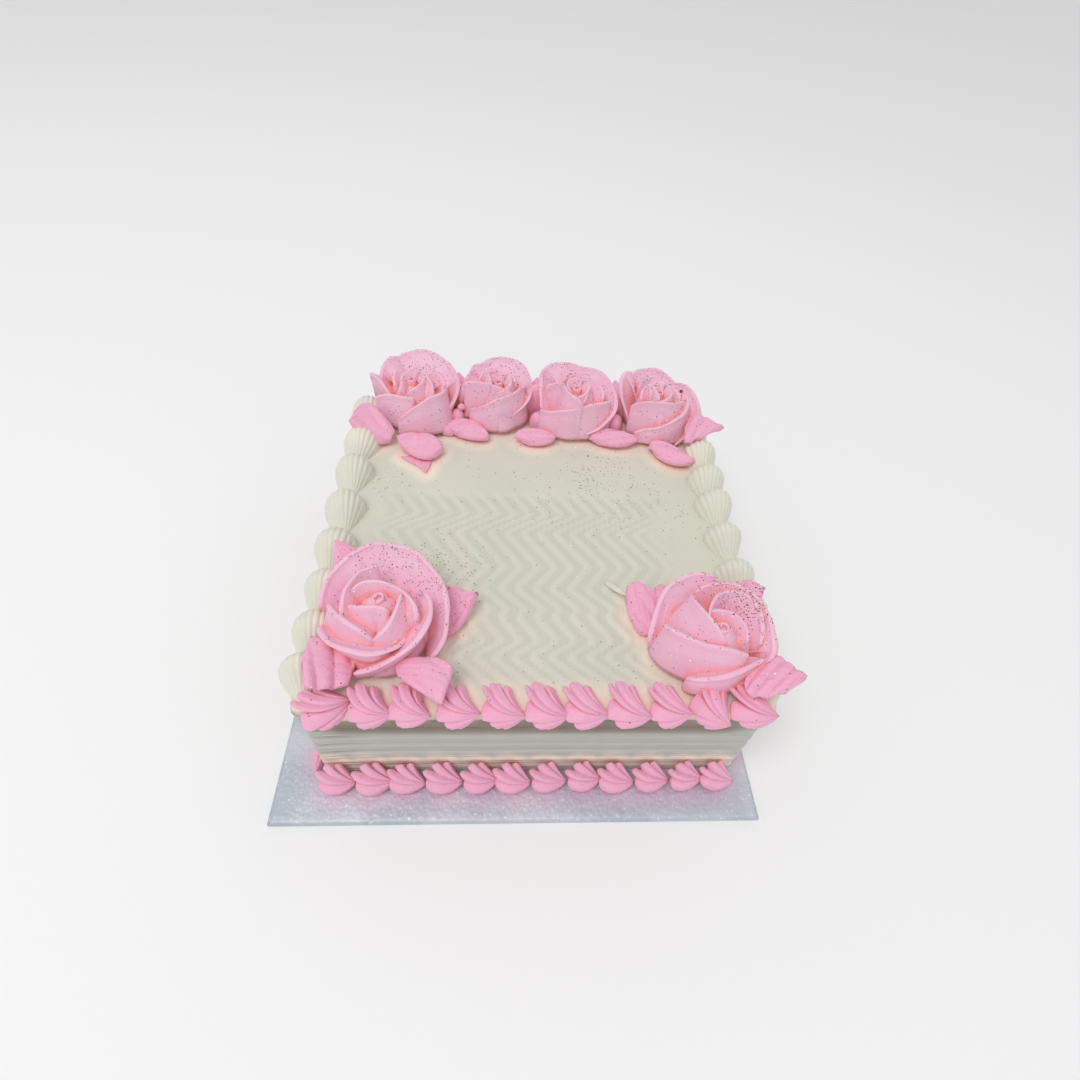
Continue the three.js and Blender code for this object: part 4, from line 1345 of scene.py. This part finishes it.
class CakeColours(bpy.types.PropertyGroup):
    """Colours of the creams and the foil."""

    pink: FloatVectorProperty(
        name="Pink", description="Pink cream", default=(0.92, 0.44, 0.62), subtype="COLOR"
    )
    pink_pale: FloatVectorProperty(
        name="Pale pink", description="Pink cream where it is palest", default=(0.93, 0.58, 0.72), subtype="COLOR"
    )
    # Painted glow: coral in the pink cream's hollows and on ivory cream touching the pink, for light through the
    # cream.
    coral: FloatVectorProperty(
        name="Coral", description="Pink cream where light passes through it", default=(1.0, 0.5, 0.52), subtype="COLOR"
    )
    # Painted shade and glow: deep red in the pink cream's deepest hollows.
    deep_coral: FloatVectorProperty(
        name="Deep coral", description="Pink cream in its deepest hollows", default=(1.0, 0.26, 0.24), subtype="COLOR"
    )
    ivory: FloatVectorProperty(
        name="Ivory", description="Ivory cream", default=(0.72, 0.715, 0.6), subtype="COLOR"
    )
    ivory_green: FloatVectorProperty(
        name="Cool ivory", description="Ivory cream where it is coolest", default=(0.68, 0.7, 0.59), subtype="COLOR"
    )
    # Painted shade: dark ivory in grooves, comb valleys and flutes, and the painted shadow under the front shells.
    ivory_shade: FloatVectorProperty(
        name="Ivory shade", description="Ivory cream in its grooves", default=(0.22, 0.17, 0.13), subtype="COLOR"
    )
    # Painted shade: the wall's darker, greyer ivory.
    ivory_wall: FloatVectorProperty(
        name="Wall ivory", description="Ivory cream on the wall", default=(0.52, 0.52, 0.48), subtype="COLOR"
    )
    ivory_piped: FloatVectorProperty(
        name="Piped ivory", description="Ivory cream in the piped shells", default=(0.76, 0.76, 0.65), subtype="COLOR"
    )
    # Painted bounce light: peach on ivory cream beside the pink piping.
    peach: FloatVectorProperty(
        name="Peach", description="Ivory cream beside the pink piping", default=(1.0, 0.88, 0.73), subtype="COLOR"
    )
    foil: FloatVectorProperty(
        name="Foil", description="The board's foil", default=(0.5, 0.55, 0.62), subtype="COLOR"
    )
    foil_pale: FloatVectorProperty(
        name="Pale foil", description="The board's foil where it is worn", default=(0.66, 0.68, 0.74), subtype="COLOR"
    )
    dark_flake: FloatVectorProperty(
        name="Dark flake", description="Most of the glitter", default=(0.2, 0.1, 0.07), subtype="COLOR"
    )
    gold_flake: FloatVectorProperty(
        name="Gold flake", description="Glitter that looks gold", default=(0.62, 0.42, 0.16), subtype="COLOR"
    )
    silver_flake: FloatVectorProperty(
        name="Silver flake", description="Glitter that catches the light", default=(0.95, 0.95, 0.95), subtype="COLOR"
    )


class CAKE_OT_stage(bpy.types.Operator):
    """Make the floor, the studio lights and the camera"""

    bl_idname = "cake.stage"
    bl_label = "Stage"

    def execute(self, context):
        bpy.ops.mesh.primitive_plane_add(size=6, location=(0, 0, -0.0003))
        floor = context.object
        floor.name = "floor"
        pale = Finish("floor")
        floor.data.materials.append(pale.set(Base_Color=(0.97, 0.97, 0.97, 1.0), Roughness=0.9))

        world = bpy.data.worlds.new("studio")
        world.use_nodes = True
        sky = world.node_tree.nodes["Background"]
        sky.inputs["Color"].default_value = (1.0, 1.0, 1.0, 1.0)
        sky.inputs["Strength"].default_value = 0.66
        context.scene.world = world
        context.scene.view_settings.view_transform = "Standard"

        lamp = bpy.data.lights.new("key", "AREA")
        lamp.size = 1.0
        lamp.energy = 18.0
        light = bpy.data.objects.new("key", lamp)
        light.location = (-0.7, -0.8, 2.2)
        light.rotation_euler = (-light.location).to_track_quat("-Z", "Y").to_euler()
        context.scene.collection.objects.link(light)

        pitch, yaw, roll = np.radians([48.67, 5.68, 5.28])
        ahead = Vector((np.sin(yaw) * np.cos(pitch), np.cos(yaw) * np.cos(pitch), -np.sin(pitch)))
        right = Vector((np.cos(yaw), -np.sin(yaw), 0))
        up = right.cross(ahead)
        turned_right = right * np.cos(roll) + up * np.sin(roll)
        turned_up = up * np.cos(roll) - right * np.sin(roll)
        camera = bpy.data.objects.new("camera", bpy.data.cameras.new("camera"))
        camera.data.sensor_width = 36
        camera.data.lens = 20.23
        camera.data.clip_start = 0.01
        camera.matrix_world = Matrix.Translation((-0.0194, -0.2337, 0.3343)) @ Matrix(
            (turned_right, turned_up, -ahead)
        ).transposed().to_4x4()
        context.scene.collection.objects.link(camera)
        context.scene.camera = camera
        return {"FINISHED"}


class CAKE_OT_board(bpy.types.Operator):
    """Make the foil covered board"""

    bl_idname = "cake.board"
    bl_label = "Board"

    def execute(self, context):
        low, high = (np.array(corner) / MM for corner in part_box("board"))
        u = np.linspace(0, 1, 121)
        x = (low[0] + (high[0] - low[0]) * u)[None, :] + 0 * u[:, None]
        y = (low[1] + (high[1] - low[1]) * u)[:, None] + 0 * u[None, :]
        inside = np.minimum.reduce([x - low[0], high[0] - x, y - low[1], high[1] - y])
        crumple = 0.1 * np.sin(x / 5.1 + 2 * np.sin(y / 9)) * np.sin(y / 6.3 + np.sin(x / 7))
        z = BOARD_TOP - 0.12 + crumple * smooth(0, 8, inside) - 0.5 * smooth(2.5, 0, inside)
        rim_x, rim_y = rim_of(x), rim_of(y)
        level = np.array([BOARD_TOP - 1.1, BOARD_TOP / 2, 0])[:, None]
        walls = np.stack([rim_x + 0 * level, rim_y + 0 * level, level + 0 * rim_x], -1)
        mesh = block_mesh("board_foil", np.stack([x, y, z], -1), walls, {}, {})
        board = add_object("foil_board", mesh)
        dress(board, finish_of(board_foil, context), "board_foil", "board")
        return {"FINISHED"}


class CAKE_OT_body(bpy.types.Operator):
    """Make the cake's combed coat"""

    bl_idname = "cake.body"
    bl_label = "Combed cake"

    def execute(self, context):
        body = add_object("combed_cake", body_mesh(context.scene.cake_sizes))
        dress(body, finish_of(ivory_cream, context), "ivory_cream", "cake_body")
        return {"FINISHED"}


class CAKE_OT_roses(bpy.types.Operator):
    """Pipe the roses, petal by petal"""

    bl_idname = "cake.roses"
    bl_label = "Roses"

    def execute(self, context):
        material = finish_of(pink_cream, context)
        for order, rose in enumerate(ROSES):
            skins = Skins()
            size = rose.get("mound", 1)
            mound_skin(skins, rose["curl"], size)
            curl_skin(skins, rose["curl"])
            petals = rose["petals"] + HEART * (size < 1)
            for number, (flare, points) in enumerate(petals):
                petal_skin(skins, flare, points, 1.3 * number + 2.2 * order, 1.3 - size)
            skins.moved((*rose["spot"], TOP + 0.35))
            flower = add_object("piped_" + rose["name"], skins.mesh(rose["name"]))
            dress(flower, material, "pink_cream", rose["name"])
        return {"FINISHED"}


class CAKE_OT_top_borders(bpy.types.Operator):
    """Pipe the shells along the four top edges"""

    bl_idname = "cake.top_borders"
    bl_label = "Top borders"

    def execute(self, context):
        pink = finish_of(pink_cream, context)
        ivory = finish_of(ivory_cream, context)
        uneven = context.scene.cake_sizes.unevenness
        front = piped_row(
            "shells_top_front",
            [star_shell(EDGE_SHELL, (1, 1, 1), number, 30, 10) for number in range(5)],
            [(x, -HALF + 1, TOP) for x in FRONT_MIDDLES],
            FRONT_TURNS,
            [(1.2, 1.05, 1)] + [(1, 1, 1)] * 9 + [(1.15, 1, 1)],
            pink,
            1,
            uneven,
        )
        dress(front, pink, "pink_cream", "border_top_front")
        back = piped_row(
            "shells_top_back",
            [star_shell(EDGE_SHELL, (1, 1, 1), number, 20, 6) for number in range(3)],
            [(-x, HALF + 4, TOP - 7) for x in BACK_MIDDLES],
            [180 + 6 * (i % 3 - 1) for i in range(11)],
            [(0.95, 0.9, 0.95)] * 11,
            pink,
            2,
            uneven,
        )
        dress(back, pink, "pink_cream", "border_top_back")
        for side, name, sign, length, middles in (
            ("left", "border_top_left", -1, 35, LEFT_MIDDLES),
            ("right", "border_top_right", 1, 32, RIGHT_MIDDLES),
        ):
            row = piped_row(
                "shells_top_" + side,
                [fluted_shell(length, number) for number in range(3)],
                [(sign * (HALF - 2), -y, TOP - 5) for y in middles],
                [-90 + sign * 5 * np.sin(1.7 * i) for i in range(len(middles))],
                [(1, 1, 1)] * (len(middles) - 1) + [(0.7, 1, 1)],
                ivory,
                3,
                uneven,
            )
            dress(row, ivory, "ivory_cream", name)
        return {"FINISHED"}


class CAKE_OT_foot_borders(bpy.types.Operator):
    """Pipe the shells round the foot of the cake"""

    bl_idname = "cake.foot_borders"
    bl_label = "Foot borders"

    def execute(self, context):
        pink = finish_of(pink_cream, context)
        count, pitch = FOOT_ROW["count"], FOOT_ROW["pitch"]
        sides = (
            ("front", 0, -104, 17.5, 18.5),
            ("right", 90, -100, 7, 13),
            ("back", 180, -102, 7, 14),
            ("left", -90, -100, 9, 14),
        )
        for number, (side, turn, first, reach, height) in enumerate(sides):
            c, s = np.cos(np.radians(turn)), np.sin(np.radians(turn))
            along = first + pitch * np.arange(count)
            out = -HALF + 1.5
            spots = [(x * c - out * s, x * s + out * c, BOARD_TOP + 0.35) for x in along]
            scale = (1, reach / 14, height / 14.5)
            row = piped_row(
                "shells_foot_" + side,
                [star_shell(FOOT_SHELL, scale, kind, 24, 6) for kind in range(4)],
                spots,
                [turn + 5 * np.sin(2.1 * i) * (reach > 10) for i in range(count)],
                [(1, 1, 1)] * count,
                pink,
                5 + number,
                context.scene.cake_sizes.unevenness,
            )
            dress(row, pink, "pink_cream", "border_base_" + side)
        return {"FINISHED"}


class CAKE_OT_leaves(bpy.types.Operator):
    """Pipe the leaves beside the roses"""

    bl_idname = "cake.leaves"
    bl_label = "Leaves"

    def execute(self, context):
        material = finish_of(pink_cream, context)
        times = context.scene.cake_sizes.leaf_thickness
        for name, blades in LEAVES.items():
            skins = Skins()
            for one, other, thickness, *folds in blades:
                leaf_skin(skins, one, other, thickness * times, *folds)
            leaf = add_object("piped_" + name, skins.mesh(name))
            dress(leaf, material, "pink_cream", name)
        return {"FINISHED"}


class CAKE_OT_bits(bpy.types.Operator):
    """Add the smear and the small dabs of cream beside the piping"""

    bl_idname = "cake.bits"
    bl_label = "Bits of cream"

    def execute(self, context):
        for tint, make, slot in (
            ("pink", pink_cream, "pink_cream"),
            ("ivory", ivory_cream, "ivory_cream"),
            ("dark", glitter_flakes, None),
        ):
            skins = Skins()
            if tint == "pink":
                leaf_skin(skins, *SMEAR, 0.8, 0, 0.3, 2, 3)
            for kind, middle, reach, turn in BITS:
                if kind == tint:
                    dab_skin(skins, middle, reach, turn)
            bits = add_object(tint + "_bits", skins.mesh(tint + "_bits"))
            dress(bits, finish_of(make, context), slot)
        return {"FINISHED"}


class CAKE_OT_tints(bpy.types.Operator):
    """Work out the values that paint light and shade: where the pink and ivory creams are closed in, and how near the
    ivory cream and the foil lie to the pink
    """

    bl_idname = "cake.tints"
    bl_label = "Painted light"

    def execute(self, context):
        pinks, ivories, foils = (
            [piece.data for piece in pieces_in(finish_of(make, context), context)]
            for make in (pink_cream, ivory_cream, board_foil)
        )
        pink = surface_tree(pinks)
        creams = surface_tree(pinks + ivories)
        for mesh in pinks:
            # Closeness of cream, which paints coral glow and red shade into the pink cream
            store(mesh, "hollow", hollows(mesh, creams, 0.014))
        for mesh in ivories:
            # Nearness to pink, which paints peach and coral bounce light on the ivory cream
            store(mesh, "blush", nearness(mesh, pink, 0.016))
            if "shade" not in mesh.attributes:
                # Painted shade where ivory cream is closed in, on pieces without their own shade
                store(mesh, "shade", hollows(mesh, creams, 0.005))
        for mesh in foils:
            # Nearness to pink, which paints a pink reflection on the foil
            store(mesh, "blush", nearness(mesh, pink, 0.012))
        return {"FINISHED"}


class CAKE_OT_glitter(bpy.types.Operator):
    """Strew the glitter over the roses, the leaves and the top"""

    bl_idname = "cake.glitter"
    bl_label = "Glitter"

    def execute(self, context):
        sizes = context.scene.cake_sizes
        creams = bpy.data.collections.new("creams")
        for make in (pink_cream, ivory_cream):
            for piece in pieces_in(finish_of(make, context), context):
                share = next((s for start, s in GLITTER_SHARES.items() if piece.name.startswith(start)), 0)
                if share:
                    store(piece.data, "glitter", glitter_on(piece.data, share))
                    creams.objects.link(piece)
        material = finish_of(glitter_flakes, context)
        glitter = add_object("glitter", bpy.data.meshes.new("glitter"))
        inputs = {
            "Creams": creams,
            "Density": sizes.glitter_density,
            "Size": sizes.glitter_size,
            "Seed": sizes.seed,
            "Flakes": material,
        }
        grown(glitter, glitter_tree(), inputs)
        for piece in creams.objects:
            piece.data.attributes.remove(piece.data.attributes["glitter"])
        bpy.data.collections.remove(creams)
        dress(glitter, material, None)
        return {"FINISHED"}


class CAKE_PT_panel(bpy.types.Panel):
    """The cake's pieces, sizes and colours"""

    bl_label = "Square cake"
    bl_space_type = "VIEW_3D"
    bl_region_type = "UI"
    bl_category = "Cake"

    def draw(self, context):
        for operator in OPERATORS:
            self.layout.operator(operator.bl_idname)
        for group in (context.scene.cake_sizes, context.scene.cake_colours):
            column = self.layout.column()
            for name in group.__annotations__:
                column.prop(group, name)


OPERATORS = (
    CAKE_OT_stage,
    CAKE_OT_board,
    CAKE_OT_body,
    CAKE_OT_roses,
    CAKE_OT_top_borders,
    CAKE_OT_foot_borders,
    CAKE_OT_leaves,
    CAKE_OT_bits,
    CAKE_OT_tints,
    CAKE_OT_glitter,
)
CLASSES = (CakeSizes, CakeColours, *OPERATORS, CAKE_PT_panel)


def register():
    for item in CLASSES:
        bpy.utils.register_class(item)
    bpy.types.Scene.cake_sizes = PointerProperty(type=CakeSizes)
    bpy.types.Scene.cake_colours = PointerProperty(type=CakeColours)


def unregister():
    del bpy.types.Scene.cake_colours
    del bpy.types.Scene.cake_sizes
    for item in reversed(CLASSES):
        bpy.utils.unregister_class(item)


def main():
    register()
    for operator in OPERATORS:
        group, name = operator.bl_idname.split(".")
        getattr(getattr(bpy.ops, group), name)()


if __name__ == "__main__":
    main()
